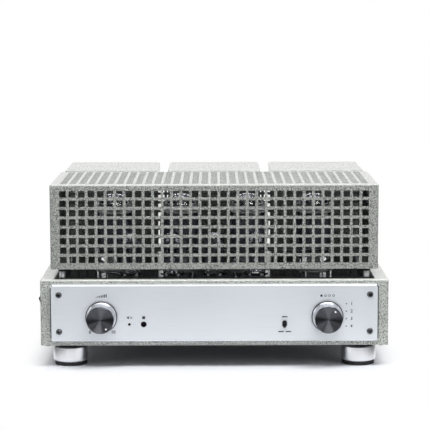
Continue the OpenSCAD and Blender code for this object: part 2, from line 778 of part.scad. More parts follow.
// Power tubes: a keyed base with pins and the electrodes, under a glass bulb
base_z = deck_top + power_ring_h + rest_gap;
bulb_z = base_z + base_h;
key_lead = 1;
key_l = power_pin_l + key_lead;
bulb_rim = 2.5;
bulb_waist_z = 0.42 * bulb_h;
bulb_squareness = 0.75;
bulb_steps = 10;
// The bulb swells from its foot to its waist, then closes in a squared dome
function bulb_side(t) = [
    for (i = [0:bulb_steps - 1])
        let (foot_r = base_d / 2 - bulb_rim)
        [foot_r - t + (bulb_d / 2 - foot_r) * sin(90 * i / bulb_steps), bulb_waist_z * i / bulb_steps]
];
function bulb_dome(t) = [
    for (i = [0:bulb_steps])
        let (a = 90 * i / bulb_steps)
        [(bulb_d / 2 - t) * pow(cos(a), bulb_squareness),
         bulb_waist_z + (bulb_h - t - bulb_waist_z) * pow(sin(a), bulb_squareness)]
];
function backwards(points) = [for (i = [len(points) - 1:-1:0]) points[i]];
module bulb() {
    outer = concat(bulb_side(0), bulb_dome(0));
    inner = concat(bulb_side(bulb_t), bulb_dome(bulb_t));
    color([0.75, 0.82, 0.88, 0.35]) rotate_extrude() polygon(concat(outer, backwards(inner)));
}
module pins(count, steps, circle_d, d, l) {
    for (i = [0:count - 1]) rotate(i * 360 / steps) translate([circle_d / 2, 0, -l]) cylinder(d = d, h = l);
}
plate_l = 24;
plate_w = 14;
mica_t = 0.8;
mica_gap = 3;
rod_d = 1.6;
electrode_stand = 9;
electrode_top_gap = 24;
module power_electrodes() {
    plate_h = bulb_h - electrode_stand - electrode_top_gap;
    mica_d = base_d - 2 * (bulb_rim + bulb_t + mica_gap);
    for (sx = sides) translate([sx * plate_l / 3, 0, 0]) cylinder(d = rod_d, h = electrode_stand);
    for (z = [electrode_stand, electrode_stand + mica_t + plate_h]) translate([0, 0, z])
        cylinder(d = mica_d, h = mica_t);
    translate([0, 0, electrode_stand + mica_t]) linear_extrude(plate_h)
        round_rect(plate_l, plate_w, plate_w / 3);
}
module power_tube_base(x) {
    color("#1b1b1d") translate([x, power_y, base_z]) {
        cylinder(d = base_d, h = base_h);
        pins(power_pin_count, power_pin_count, power_pin_circle, power_pin_d, power_pin_l);
        translate([0, 0, -key_l]) cylinder(d = key_d, h = key_l);
        translate([0, 0, base_h]) power_electrodes();
    }
}
module power_tube_glass(x) { translate([x, power_y, bulb_z]) bulb(); }

// Small tubes: nine pins in a glass button, two plates, and a slim bulb
small_z = deck_top + small_ring_h + rest_gap;
small_pin_count = 9;
small_pin_steps = 10;
button_h = 3;
small_steps = 10;
small_squareness = 0.7;
small_stand = 5;
small_mica_gap = 1;
function small_outline(t) = [
    [small_d / 2 - t, 0],
    for (i = [0:small_steps])
        let (r = small_d / 2 - t, a = 90 * i / small_steps)
        [r * pow(cos(a), small_squareness), small_h - button_h - t - r * (1 - pow(sin(a), small_squareness))]
];
module small_tube(x) {
    mica_r = small_d / 2 - small_t - small_mica_gap;
    plate_size = [0.7 * mica_r, 0.9 * mica_r];
    plates_h = small_h / 2;
    translate([x, small_y, small_z]) {
        color([0.75, 0.82, 0.88, 0.35]) translate([0, 0, button_h]) rotate_extrude()
            polygon(concat(small_outline(0), backwards(small_outline(small_t))));
        color("#5b5d60") {
            cylinder(d = small_d, h = button_h);
            pins(small_pin_count, small_pin_steps, small_pin_circle, small_pin_d, small_pin_l);
            translate([0, 0, button_h]) {
                for (sx = sides) translate([sx * mica_r / 2, 0, 0]) {
                    cylinder(d = rod_d, h = small_stand);
                    translate([0, 0, small_stand]) linear_extrude(plates_h) square(plate_size, center = true);
                }
                for (z = [small_stand - mica_t, small_stand + plates_h]) translate([0, 0, z])
                    cylinder(r = mica_r, h = mica_t);
            }
        }
    }
}

// Tube sockets: a ring on the deck plate, and a body below it with a hole for each pin
module socket(ring_d, ring_h, body_d, body_h) {
    difference() {
        union() {
            cylinder(d = ring_d, h = ring_h);
            translate([0, 0, -body_h]) cylinder(d = body_d, h = body_h);
        }
        translate([0, 0, ring_h]) children();
    }
}
socket_floor = 1;
module power_sockets() {
    pin_room = power_pin_l + socket_floor;
    key_room = key_l + socket_floor;
    color("#22242a") for (x = power_xs) translate([x, power_y, deck_top])
        socket(power_ring_d, power_ring_h, power_socket_d, power_socket_h) {
            translate([0, 0, past])
                pins(power_pin_count, power_pin_count, power_pin_circle,
                     power_pin_d + 2 * run_fit, pin_room + past);
            translate([0, 0, -key_room]) cylinder(d = key_d + 2 * run_fit, h = key_room + past);
        }
}
module small_sockets() {
    pin_room = small_pin_l + socket_floor;
    color("#22242a") for (x = small_xs) translate([x, small_y, deck_top])
        socket(small_ring_d, small_ring_h, small_socket_d, small_socket_h)
            translate([0, 0, past])
                pins(small_pin_count, small_pin_steps, small_pin_circle,
                     small_pin_d + 2 * run_fit, pin_room + past);
}

// Knobs: tapered metal with a shaft bore and an index dot, turned clockwise from the top
knob_bevel = 0.8;
knob_end_t = 5;
knob_bore_l = knob_l - knob_end_t;
knob_dot_depth = 0.4;
knob_skirt_l = 3;
knob_step_l = 1.5;
module knob(x, angle) {
    dot_r = knob_face_d / 2 - knob_dot_inset;
    color("#a9aeb4") translate([x, knob_y, knob_z]) rotate([90, 0, 0]) rotate(-angle) difference() {
        rotate_extrude() polygon([
            [0, 0], [knob_base_d / 2, 0], [knob_base_d / 2, knob_skirt_l],
            [knob_face_d / 2, knob_skirt_l + knob_step_l], [knob_face_d / 2, knob_l - knob_bevel],
            [knob_face_d / 2 - knob_bevel, knob_l], [0, knob_l]
        ]);
        translate([0, 0, -past]) cylinder(d = shaft_d + 2 * run_fit, h = knob_bore_l + past);
        translate([0, dot_r, knob_l - knob_dot_depth]) cylinder(d = knob_dot_d, h = knob_dot_depth + past);
    }
}
module volume_knob() { knob(-knob_x, volume_angle); }
module selector_knob() { knob(knob_x, selector_angle); }

// Control shafts: they turn with the knobs and end inside the control cases
shaft_tail = 10;
module shaft(x) {
    start_y = knob_y - knob_bore_l + rest_gap;
    color("#b9bcc0") translate([x, start_y, knob_z]) y_rod(shaft_d, wall_y + shaft_tail - start_y);
}
module volume_shaft() { shaft(-knob_x); }
module selector_shaft() { shaft(knob_x); }

// Control cases behind the chassis wall, each with a bush through wall and panel
bush_setback = 1;
module control_case(x, d, l) {
    difference() {
        union() {
            translate([x, wall_y, knob_z]) y_rod(d, l);
            translate([x, panel_y + bush_setback, knob_z]) y_rod(bush_d, wall_y - panel_y - bush_setback);
        }
        translate([x, panel_y, knob_z])
            y_rod(shaft_d + 2 * run_fit, wall_y + shaft_tail + rest_gap - panel_y);
    }
}
module volume_control() {
    color("#7d8187") {
        control_case(-knob_x, pot_d, pot_l);
        block(-knob_x, wall_y + pot_l, knob_z - motor_w / 2, [motor_w, motor_l, motor_w]);
    }
}
module selector_switch() { color("#9a8f76") control_case(knob_x, selector_d, selector_l); }

// Control nuts: they hold each bush to the chassis wall, inside the panel's recess
module control_nuts() {
    color("#c9ccd0") for (sx = sides) translate([sx * knob_x, front_y - nut_t, knob_z]) difference() {
        rotate([-90, 0, 0]) cylinder(d = nut_d, h = nut_t, $fn = 6);
        y_hole(bush_d + 2 * run_fit, 0, nut_t);
    }
}

// Mode switch: a short lever on a cross pin, tilted up at rest, in a case behind the wall
mode_pivot_in = 3;
mode_stem_d = 3;
mode_ball_d = 3.6;
mode_ball_gap = 0.3;
mode_pivot_y = panel_y + mode_pivot_in;
mode_case_w = 9;
mode_case_h = 14;
mode_case_l = 14;
module mode_lever() {
    color("#141516") translate([mode_x, mode_pivot_y, control_z]) rotate([90 - mode_tilt, 0, 0]) {
        sphere(d = mode_ball_d);
        cylinder(d1 = mode_stem_d, d2 = mode_tip_d, h = mode_pivot_in + mode_reach - mode_tip_d / 2);
        translate([0, 0, mode_pivot_in + mode_reach - mode_tip_d / 2]) sphere(d = mode_tip_d);
    }
}
module mode_switch() {
    neck_y = mode_pivot_y + mode_ball_d / 2 + mode_ball_gap;
    color("#2a2b2e") {
        translate([mode_x, neck_y, control_z]) y_rod(mode_slot_w - 2 * seat_fit, wall_y - neck_y);
        block(mode_x, wall_y, control_z - mode_case_h / 2, [mode_case_w, mode_case_l, mode_case_h]);
    }
}

// Power switch: a rocker on the left side that tilts about a level axis, in a bezel and case
bezel_lap = 0.9;
rocker_gap = 0.3;
rocker_dish = 1.2;
rocker_heel = 2;
frame_w = rocker_w + 2 * rocker_gap + 2 * bezel_w;
frame_h = 2 * (rocker_r + rocker_gap + bezel_w);
switch_w = frame_w - 2 * bezel_lap;
switch_h = frame_h - 2 * bezel_lap;
case_depth = 14;
module power_rocker() {
    color("#141516") translate([-chassis_w / 2, switch_y + rocker_w / 2, power_z]) rotate([90, 0, 0])
        linear_extrude(rocker_w) rotate(rocker_tilt) intersection() {
            circle(rocker_r);
            polygon([
                [0, -rocker_r], [-rocker_reach - rocker_dish, -rocker_r], [-rocker_reach, 0],
                [-rocker_reach - rocker_dish, rocker_r], [0, rocker_r], [rocker_heel, 0]
            ]);
        }
}
module power_switch() {
    color("#1d1e20") difference() {
        union() {
            translate([-chassis_w / 2 - bezel_t, switch_y - frame_w / 2, power_z - frame_h / 2])
                cube([bezel_t, frame_w, frame_h]);
            translate([-chassis_w / 2, switch_y - switch_w / 2, power_z - switch_h / 2])
                cube([case_depth, switch_w, switch_h]);
        }
        translate([-chassis_w / 2, switch_y + rocker_w / 2 + rocker_gap, power_z]) rotate([90, 0, 0])
            cylinder(r = rocker_r + rocker_gap, h = rocker_w + 2 * rocker_gap);
    }
}

// Mute lamp and remote window: small lenses through panel and wall, on a board behind
lens_tail = 3;
module lens(x, d) {
    translate([x, panel_y, control_z]) y_rod(d, panel_t + sheet_t + lens_tail);
}
module mute_lamp() { color("#7a1512") lens(-lamp_x, lamp_d); }
module remote_window() { color("#120d10") lens(-window_x, window_d); }

// Mains inlet: a flanged case with three blades in its mouth, and a slot for the fuse drawer
inlet_wall = 1.2;
inlet_body_w = mouth_w + 2 * inlet_wall;
inlet_body_h = mouth_h + drawer_h + 5 * inlet_wall;
mouth_z = terminal_z + inlet_body_h / 2 - 2 * inlet_wall - mouth_h;
drawer_z = terminal_z - inlet_body_h / 2 + 2 * inlet_wall;
blade_w = 2;
blade_h = 4;
blade_x = 7;
blade_step = 4;
blade_xz = [[-blade_x, -blade_step / 2], [0, blade_step / 2], [blade_x, -blade_step / 2]];
inlet_rear = rear_y + inlet_t;
drawer_room = 0.3;
module mains_inlet() {
    case_l = drawer_l + 2 * inlet_wall;
    color("#1a1b1d") {
        difference() {
            union() {
                block(-inlet_x, rear_y, terminal_z - inlet_h / 2, [inlet_w, inlet_t, inlet_h]);
                block(-inlet_x, inlet_rear - case_l, terminal_z - inlet_body_h / 2,
                      [inlet_body_w, case_l, inlet_body_h]);
            }
            block(-inlet_x, inlet_rear - mouth_d, mouth_z, [mouth_w, mouth_d + past, mouth_h]);
            block(-inlet_x, inlet_rear - drawer_l - drawer_room, drawer_z - drawer_room,
                  [drawer_w + 2 * drawer_room, drawer_l + drawer_room + past, drawer_h + 2 * drawer_room]);
        }
        for (b = blade_xz)
            block(-inlet_x + b[0], inlet_rear - mouth_d, mouth_z + mouth_h / 2 + b[1] - blade_h / 2,
                  [blade_w, blade_l, blade_h]);
    }
}

// Fuse drawer: a tray with two fuse beds and a finger lip
fuse_d = 5.4;
fuse_l = 20;
tray_end_t = 2;
drawer_lip_t = 2;
module fuse_drawer() {
    color("#232427") difference() {
        block(-inlet_x, inlet_rear - drawer_l, drawer_z, [drawer_w, drawer_l + drawer_lip_t, drawer_h]);
        for (sx = sides)
            translate([-inlet_x + sx * drawer_w / 4, inlet_rear - drawer_l + tray_end_t, drawer_z + drawer_h])
                y_rod(fuse_d, min(fuse_l, drawer_l - 2 * tray_end_t));
    }
}

// Speaker posts: a flange and sleeve through the rear panel, and a stud with a plug hole
stud_sleeve_d = stud_d + 3;
stud_tail = 10;
post_flange_d = cap_d + 2;
module speaker_posts() {
    color("#c8a24a") for (x = speaker_xs) translate([x, rear_y, terminal_z]) difference() {
        union() {
            y_rod(post_flange_d, post_flange_t);
            translate([0, -sheet_t - stud_tail, 0]) y_rod(stud_sleeve_d, sheet_t + stud_tail);
            y_rod(stud_d, stud_l);
        }
        translate([0, stud_l - plug_depth, 0]) y_rod(plug_d, plug_depth + past);
    }
}
cap_grip_d = 1.6;
cap_grips = 16;
module speaker_cap(i) {
    color(i % 3 == 0 ? "#191a1c" : "#a31d1a")
        translate([speaker_xs[i], rear_y + post_flange_t + cap_gap, terminal_z]) difference() {
            y_rod(cap_d, cap_l);
            y_hole(stud_d + 2 * run_fit, 0, cap_l);
            for (g = [0:cap_grips - 1]) rotate([0, g * 360 / cap_grips, 0])
                translate([cap_d / 2 + cap_grip_d / 4, cap_l / 4, 0]) y_rod(cap_grip_d, cap_l);
        }
}

// Input jacks: plated sleeves with a flange, through the rear panel
jack_tail = 8;
module input_jacks() {
    color("#caa550") for (x = jack_xs, z = jack_zs) translate([x, rear_y, z]) difference() {
        union() {
            y_rod(jack_flange_d, jack_flange_t);
            y_rod(jack_d, jack_flange_t + jack_l);
            translate([0, -sheet_t - jack_tail, 0]) y_rod(jack_d, sheet_t + jack_tail);
        }
        translate([0, jack_flange_t, 0]) y_rod(jack_hole_d, jack_l + past);
    }
}

// Circuit boards: the main board on its posts, and the lamp and remote board behind the panel
lens_board_h = 16;
lens_board_rim = 9;
module circuit_boards() {
    lens_board_w = lamp_x - window_x + 2 * lens_board_rim;
    color("#2f5d3a") {
        translate([0, board_mid_y, floor_z + standoff_h]) linear_extrude(board_t)
            square([board_w, board_d], center = true);
        block(-(lamp_x + window_x) / 2, wall_y + lens_tail, control_z - lens_board_h / 2,
              [lens_board_w, board_t, lens_board_h]);
    }
}

// Filter capacitors: cans that stand on the main board
module filter_capacitors() {
    pitch = board_w / capacitor_count;
    color("#26364f") for (i = [0:capacitor_count - 1])
        translate([(i - (capacitor_count - 1) / 2) * pitch, board_mid_y, floor_z + standoff_h + board_t])
            cylinder(d = capacitor_d, h = capacitor_h);
}

chassis();
rear_panel();
bottom_plate();
deck_plate();
front_panel();
panel_screws();
case_screws();
feet();
foot_collars();
foot_pads();
cage_front();
cage_top();
cage_walls();
cage_lip();
cage_pins();
cage_posts();
left_output_cover();
power_supply_cover();
right_output_cover();
transformer_cores();
transformer_coils();
power_tube_base(power_xs[0]);  // power_tube_1_base
power_tube_base(power_xs[1]);  // power_tube_2_base
power_tube_base(power_xs[2]);  // power_tube_3_base
power_tube_base(power_xs[3]);  // power_tube_4_base
power_tube_glass(power_xs[0]);  // power_tube_1_glass
power_tube_glass(power_xs[1]);  // power_tube_2_glass
power_tube_glass(power_xs[2]);  // power_tube_3_glass
power_tube_glass(power_xs[3]);  // power_tube_4_glass
small_tube(small_xs[0]);  // small_tube_1
small_tube(small_xs[1]);  // small_tube_2
small_tube(small_xs[2]);  // small_tube_3
small_tube(small_xs[3]);  // small_tube_4
power_sockets();
small_sockets();
volume_knob();
volume_shaft();
volume_control();
selector_knob();
selector_shaft();
selector_switch();
control_nuts();
mode_lever();
mode_switch();
power_rocker();
power_switch();
mute_lamp();
remote_window();
mains_inlet();
fuse_drawer();
speaker_posts();
speaker_cap(0);  // speaker_cap_1
speaker_cap(1);  // speaker_cap_2
speaker_cap(2);  // speaker_cap_3
speaker_cap(3);  // speaker_cap_4
speaker_cap(4);  // speaker_cap_5
speaker_cap(5);  // speaker_cap_6
input_jacks();
circuit_boards();
filter_capacitors();
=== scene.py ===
from math import atan2, cos, pi, radians, sin

import bmesh
import bpy
from mathutils import Matrix, Vector

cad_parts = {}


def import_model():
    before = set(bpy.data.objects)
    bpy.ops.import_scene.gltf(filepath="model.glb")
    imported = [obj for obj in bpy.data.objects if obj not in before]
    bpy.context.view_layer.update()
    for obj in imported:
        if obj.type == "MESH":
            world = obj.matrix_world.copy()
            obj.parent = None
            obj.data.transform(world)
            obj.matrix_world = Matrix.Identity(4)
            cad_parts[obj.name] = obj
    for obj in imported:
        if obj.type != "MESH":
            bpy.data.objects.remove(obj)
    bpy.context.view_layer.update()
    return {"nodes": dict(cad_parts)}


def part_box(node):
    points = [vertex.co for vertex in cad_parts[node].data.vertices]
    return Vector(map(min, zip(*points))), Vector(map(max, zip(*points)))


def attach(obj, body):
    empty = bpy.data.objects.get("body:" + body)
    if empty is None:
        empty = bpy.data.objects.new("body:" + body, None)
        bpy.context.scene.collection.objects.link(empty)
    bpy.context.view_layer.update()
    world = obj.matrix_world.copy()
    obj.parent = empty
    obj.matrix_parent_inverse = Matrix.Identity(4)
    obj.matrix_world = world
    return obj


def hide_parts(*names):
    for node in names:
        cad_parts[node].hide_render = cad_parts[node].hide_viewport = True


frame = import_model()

MM = 0.001
ROOT = "amplifier"
SIDES = (-1, 1)
SMOOTH_ANGLE = radians(35)


# Shaders

# Most values of a noise lie between these two
NOISE_LOW, NOISE_HIGH = 0.3, 0.7


def shader_tree(name):
    made = bpy.data.materials.new(name)
    made.use_nodes = True
    return made, made.node_tree, made.node_tree.nodes["Principled BSDF"]


def add_node(tree, kind, inputs=None, **settings):
    made = tree.nodes.new("ShaderNode" + kind)
    for key, value in settings.items():
        setattr(made, key, value)
    for key, value in (inputs or {}).items():
        if isinstance(value, bpy.types.NodeSocket):
            tree.links.new(value, made.inputs[key])
        else:
            made.inputs[key].default_value = value
    return made


def calculate(tree, operation, *values):
    """A math node on sockets and numbers."""
    return add_node(tree, "Math", dict(enumerate(values)), operation=operation).outputs["Value"]


def spread(tree, value, start, end, first, last):
    """Goes smoothly from first to last while the value goes from start to end."""
    inputs = {"Value": value, "From Min": start, "From Max": end, "To Min": first, "To Max": last}
    return add_node(tree, "MapRange", inputs, interpolation_type="SMOOTHSTEP").outputs["Result"]


def blend(tree, share, first, second):
    return add_node(tree, "Mix", {"Factor": share, "A": first, "B": second}).outputs["Result"]


def mix_surface(tree, share, first, second):
    """A material's surface that goes from one shader to another."""
    both = add_node(tree, "MixShader", {0: share, 1: first, 2: second})
    tree.links.new(both.outputs["Shader"], tree.nodes["Material Output"].inputs["Surface"])


def position(tree, scale=(1, 1, 1)):
    """Places on the object in metres, stretched by scale."""
    coords = add_node(tree, "TexCoord")
    mapping = add_node(tree, "Mapping", {"Vector": coords.outputs["Object"], "Scale": scale})
    return mapping.outputs["Vector"]


def noise(tree, scale, detail=2.0, stretch=(1, 1, 1)):
    inputs = {"Vector": position(tree, stretch), "Scale": scale, "Detail": detail}
    return add_node(tree, "TexNoise", inputs).outputs["Fac"]


def ramp(tree, factor, *stops):
    """A colour ramp: each stop is a place from 0 to 1 and a colour or grey."""
    made = add_node(tree, "ValToRGB", {"Fac": factor})
    elements = made.color_ramp.elements
    while len(elements) < len(stops):
        elements.new(0.5)
    for element, (place, colour) in zip(elements, stops):
        element.position = place
        rgb = colour if isinstance(colour, tuple) else (colour, colour, colour)
        element.color = (*rgb, 1)
    return made.outputs["Color"]


def follow(tree, shader, socket, factor, low, high):
    """Ties a shader's socket to a noise, from low to high."""
    tree.links.new(ramp(tree, factor, (NOISE_LOW, low), (NOISE_HIGH, high)), shader.inputs[socket])


def bump(tree, shader, height, depth):
    made = add_node(tree, "Bump", {"Height": height, "Distance": depth})
    tree.links.new(made.outputs["Normal"], shader.inputs["Normal"])


def set_shader(shader, **values):
    for key, value in values.items():
        socket = shader.inputs[key.replace("_", " ").title().replace("Ior", "IOR")]
        socket.default_value = (*value, 1) if isinstance(value, tuple) else value


def grained(name, dark, light, grain, rough, relief=0.0, metallic=0.0, stretch=(1, 1, 1), **more):
    """A surface whose colour, roughness and relief all follow one grain. The relief is in millimetres."""
    made, tree, shader = shader_tree(name)
    grains = noise(tree, grain, stretch=stretch)
    follow(tree, shader, "Base Color", grains, dark, light)
    follow(tree, shader, "Roughness", grains, *rough)
    if relief:
        bump(tree, shader, grains, relief * MM)
    set_shader(shader, metallic=metallic, **more)
    return made


def spun(name, dark, light, rough, axis, rings, pull):
    """Turned or spun metal: fine rings about an axis pull its highlights out across them."""
    made, tree, shader = shader_tree(name)
    along = {"Y": (0, 1, 0), "Z": (0, 0, 1)}[axis]
    lines = noise(tree, rings, 3.0, along)
    follow(tree, shader, "Base Color", lines, dark, light)
    follow(tree, shader, "Roughness", lines, *rough)
    tangent = add_node(tree, "Tangent", direction_type="RADIAL", axis=axis)
    tree.links.new(tangent.outputs["Tangent"], shader.inputs["Tangent"])
    quarter_turn = 0.25
    set_shader(shader, metallic=1.0, anisotropic=pull, anisotropic_rotation=quarter_turn)
    return made


def hammertone(name, shade, contrast=1.0):
    """Glossy grey paint with a stipple of light grains about a millimetre across."""
    made, tree, shader = shader_tree(name)
    inputs = {"Vector": position(tree), "Scale": 780.0}
    cells = add_node(tree, "TexVoronoi", inputs, feature="SMOOTH_F1")
    fine = noise(tree, 1100.0, 3.0)
    stipple = calculate(tree, "MULTIPLY", calculate(tree, "ADD", cells.outputs["Distance"], fine), 0.5)
    middle_grey = 0.36
    tint = (0.985, 1.01, 0.935)

    def tone(level):
        grey = shade * (middle_grey + contrast * (level - middle_grey))
        return tuple(grey * part for part in tint)

    colour = ramp(tree, stipple, (0.30, tone(0.60)), (0.44, tone(0.35)), (0.56, tone(0.13)))
    tree.links.new(colour, shader.inputs["Base Color"])
    tree.links.new(ramp(tree, stipple, (0.3, 0.24), (0.6, 0.38)), shader.inputs["Roughness"])
    relief = -0.10 * MM
    bump(tree, shader, stipple, relief * contrast)
    set_shader(shader, coat_weight=0.7, coat_roughness=0.12)
    return made


def brushed_panel():
    """Pale aluminium, brushed along X."""
    made, tree, shader = shader_tree("brushed_panel")
    lines = noise(tree, 4200.0, 4.0, (0.006, 1, 1))
    cloud = noise(tree, 9.0)
    follow(tree, shader, "Base Color", lines, (0.755, 0.79, 0.83), (0.815, 0.845, 0.88))
    follow(tree, shader, "Roughness", cloud, 0.40, 0.48)
    bump(tree, shader, lines, 0.006 * MM)
    set_shader(shader, metallic=0.5)
    return made


def tube_glass():
    """Clear glass that lets lamp light through to what it holds."""
    made, tree, shader = shader_tree("tube_glass")
    waves = noise(tree, 60.0, 1.0)
    bump(tree, shader, waves, 0.05 * MM)
    follow(tree, shader, "Base Color", waves, (0.90, 0.94, 1.0), (0.96, 0.98, 1.0))
    set_shader(shader, transmission_weight=1.0, ior=1.45, roughness=0.02)
    clear = add_node(tree, "BsdfTransparent", {"Color": (0.92, 0.95, 1.0, 1)})
    path = add_node(tree, "LightPath")
    mix_surface(tree, path.outputs["Is Shadow Ray"], shader.outputs["BSDF"], clear.outputs["BSDF"])
    return made


HAMMERTONE = hammertone("hammertone", 1.18)
# The cage and covers take a darker copy of the chassis's hammertone: partly their own tone, partly painted
# shade.
CAGE_TONE_AND_PAINTED_SHADE = hammertone("cage_hammertone", 0.82)
# Lighter, smoother copies of the hammertone: painted highlights on the top folds and on the cage's front and
# top hole rims.
EDGE_PAINTED_HIGHLIGHT = hammertone("hammertone_edge", 1.12, 0.35)
CHASSIS_PAINTED_HIGHLIGHT = hammertone("chassis_edge", 1.5, 0.3)
# A much darker copy of the hammertone: painted shade on the covers' fronts, which stand in the cage's shadow.
COVER_FRONT_PAINTED_SHADE = hammertone("cover_front_painted_shade", 0.36)
BRUSHED = brushed_panel()
GLASS = tube_glass()
# Near-black paint: the bottom plate's own colour, and painted shade inside the cage, on its side walls' hole
# rims and on its lip.
DARK_PAINT_AND_PAINTED_SHADE = grained("dark_paint", (0.035, 0.037, 0.037), (0.055, 0.057, 0.057), 800, (0.45, 0.6), 0.05)
BLACK_PAINT = grained("black_paint", (0.01, 0.01, 0.011), (0.014, 0.014, 0.015), 160, (0.05, 0.09), 0.01)
POLISHED = grained("polished_edge", (0.8, 0.81, 0.83), (0.86, 0.87, 0.89), 200, (0.1, 0.16), 0, 1.0)
DARK_CHROME = grained("dark_chrome", (0.12, 0.122, 0.13), (0.18, 0.182, 0.19), 300, (0.08, 0.14), 0, 1.0)
SKIRT = grained("knob_skirt", (0.03, 0.031, 0.036), (0.055, 0.056, 0.062), 700, (0.3, 0.4), 0, 0.5)
CHROME = grained("chrome", (0.72, 0.73, 0.75), (0.8, 0.81, 0.83), 300, (0.06, 0.12), 0, 1.0)
NICKEL = grained("nickel", (0.5, 0.49, 0.47), (0.62, 0.61, 0.58), 400, (0.2, 0.32), 0.01, 1.0)
STEEL = grained("steel", (0.42, 0.43, 0.44), (0.55, 0.56, 0.57), 500, (0.3, 0.42), 0.01, 1.0)
BLACK_OXIDE = grained(
    "black_oxide", (0.02, 0.02, 0.022), (0.045, 0.045, 0.048), 600, (0.35, 0.5), 0.02, 0.6)
RUBBER = grained("rubber", (0.01, 0.01, 0.011), (0.02, 0.02, 0.022), 900, (0.62, 0.8), 0.06)
PLASTIC = grained("black_plastic", (0.014, 0.014, 0.015), (0.024, 0.024, 0.026), 1400, (0.34, 0.46), 0.03)
DULL_BLACK = grained(
    "dull_black", (0.006, 0.006, 0.007), (0.012, 0.012, 0.013), 700, (0.6, 0.75), specular_ior_level=0.15)
BAKELITE = grained("bakelite", (0.012, 0.011, 0.011), (0.022, 0.02, 0.019), 700, (0.22, 0.34), 0.02)
ANODE = grained("anode", (0.035, 0.036, 0.04), (0.075, 0.077, 0.083), 500, (0.5, 0.7), 0.04, 0.3)
MICA = grained("mica", (0.13, 0.125, 0.11), (0.22, 0.21, 0.19), 260, (0.2, 0.35), 0.02)
GETTER = grained("getter", (0.24, 0.235, 0.24), (0.46, 0.455, 0.47), 180, (0.06, 0.14), 0, 1.0)
GOLD = grained("gold_plate", (0.76, 0.53, 0.2), (0.86, 0.64, 0.28), 400, (0.14, 0.24), 0.01, 1.0)
COPPER = grained(
    "coil_copper", (0.45, 0.16, 0.06), (0.62, 0.27, 0.12), 900, (0.3, 0.45), 0.1, 0.7, (0.1, 0.1, 1))
IRON = grained(
    "core_iron", (0.06, 0.062, 0.066), (0.12, 0.122, 0.128), 2500, (0.4, 0.6), 0.1, 0.6, (0.05, 1, 0.05))
BOARD = grained("board", (0.015, 0.075, 0.03), (0.03, 0.11, 0.05), 300, (0.35, 0.5), 0.03)
SLEEVE = grained("capacitor_sleeve", (0.012, 0.022, 0.05), (0.02, 0.034, 0.07), 200, (0.2, 0.3), 0.02)
PHENOLIC = grained("phenolic", (0.1, 0.075, 0.045), (0.16, 0.12, 0.075), 400, (0.45, 0.6), 0.04)
RED_CAP = grained("cap_red", (0.3, 0.01, 0.01), (0.4, 0.018, 0.016), 150, (0.12, 0.2), 0.01)
BLACK_CAP = grained("cap_black", (0.01, 0.01, 0.011), (0.018, 0.018, 0.02), 150, (0.12, 0.2), 0.01)
LAMP_LENS = grained("lamp_lens", (0.012, 0.004, 0.004), (0.025, 0.006, 0.006), 500, (0.1, 0.18), 0.01)
WINDOW_LENS = grained("window_lens", (0.004, 0.003, 0.004), (0.01, 0.007, 0.009), 300, (0.05, 0.1))
PRINT = grained("print", (0.02, 0.02, 0.022), (0.035, 0.035, 0.038), 900, (0.4, 0.55))
WHITE_PRINT = grained("white_print", (0.74, 0.74, 0.74), (0.82, 0.82, 0.82), 900, (0.4, 0.55))
FOOT_METAL = spun("foot_metal", (0.84, 0.85, 0.88), (0.9, 0.91, 0.94), (0.28, 0.34), "Z", 900, 0.6)
POST_METAL = spun("post_metal", (0.84, 0.85, 0.87), (0.92, 0.93, 0.95), (0.36, 0.42), "Z", 900, 0.9)
KNOB_SIDE = spun("knob_side", (0.66, 0.67, 0.7), (0.74, 0.75, 0.78), (0.28, 0.34), "Y", 900, 0.5)
KNOB_FACE = spun("knob_face", (0.125, 0.129, 0.147), (0.155, 0.159, 0.178), (0.31, 0.36), "Y", 1, 1)


# Mesh helpers

TURNS = {
    "up": Matrix.Identity(3),
    "front": Matrix(((1, 0, 0), (0, 0, -1), (0, 1, 0))),
    "rear": Matrix(((-1, 0, 0), (0, 0, 1), (0, 1, 0))),
}
ON_AXIS = 1e-7


def new_object(name, data):
    made = bpy.data.objects.new(name, data)
    bpy.context.scene.collection.objects.link(made)
    return made


def object_from(bm, name):
    for face in bm.faces:
        face.smooth = True
    mesh = bpy.data.meshes.new(name)
    bm.to_mesh(mesh)
    bm.free()
    return new_object(name, mesh)


def settle(piece):
    """Makes a curve or a piece with modifiers a plain mesh, then keeps only its sharper edges sharp."""
    if piece.modifiers or piece.type != "MESH":
        graph = bpy.context.evaluated_depsgraph_get()
        mesh = bpy.data.meshes.new_from_object(piece.evaluated_get(graph))
        if piece.type == "MESH":
            piece.modifiers.clear()
            piece.data = mesh
        else:
            made = new_object(piece.name, mesh)
            bpy.data.objects.remove(piece)
            piece = made
    piece.data.shade_smooth()
    piece.data.set_sharp_from_angle(angle=SMOOTH_ANGLE)
    return piece


def dress(piece, material, body=ROOT, replaced=()):
    if not piece.data.materials:
        piece.data.materials.append(material)
    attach(piece, body)
    if replaced:
        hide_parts(*replaced)


def copies(piece, places):
    """The piece at the first place and others with the same mesh at the rest."""
    made = [piece]
    piece.location = places[0]
    for number, place in enumerate(places[1:], 2):
        other = new_object("%s_%d" % (piece.name, number), piece.data)
        other.location = place
        made.append(other)
    piece.name = "%s_1" % piece.name
    return made


def middle(node):
    low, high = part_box(node)
    return (low + high) / 2


def underside(node):
    low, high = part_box(node)
    return Vector(((low.x + high.x) / 2, (low.y + high.y) / 2, low.z))


def in_mm(points):
    return [(x * MM, y * MM) for x, y in points]


def circle(radius, count, centre=(0, 0)):
    angles = [2 * pi * i / count for i in range(count)]
    return [(centre[0] + radius * cos(a), centre[1] + radius * sin(a)) for a in angles]


def bar(width, height, x=0.0, y=0.0):
    left, right = x - width / 2, x + width / 2
    low, high = y - height / 2, y + height / 2
    return [(left, low), (right, low), (right, high), (left, high)]


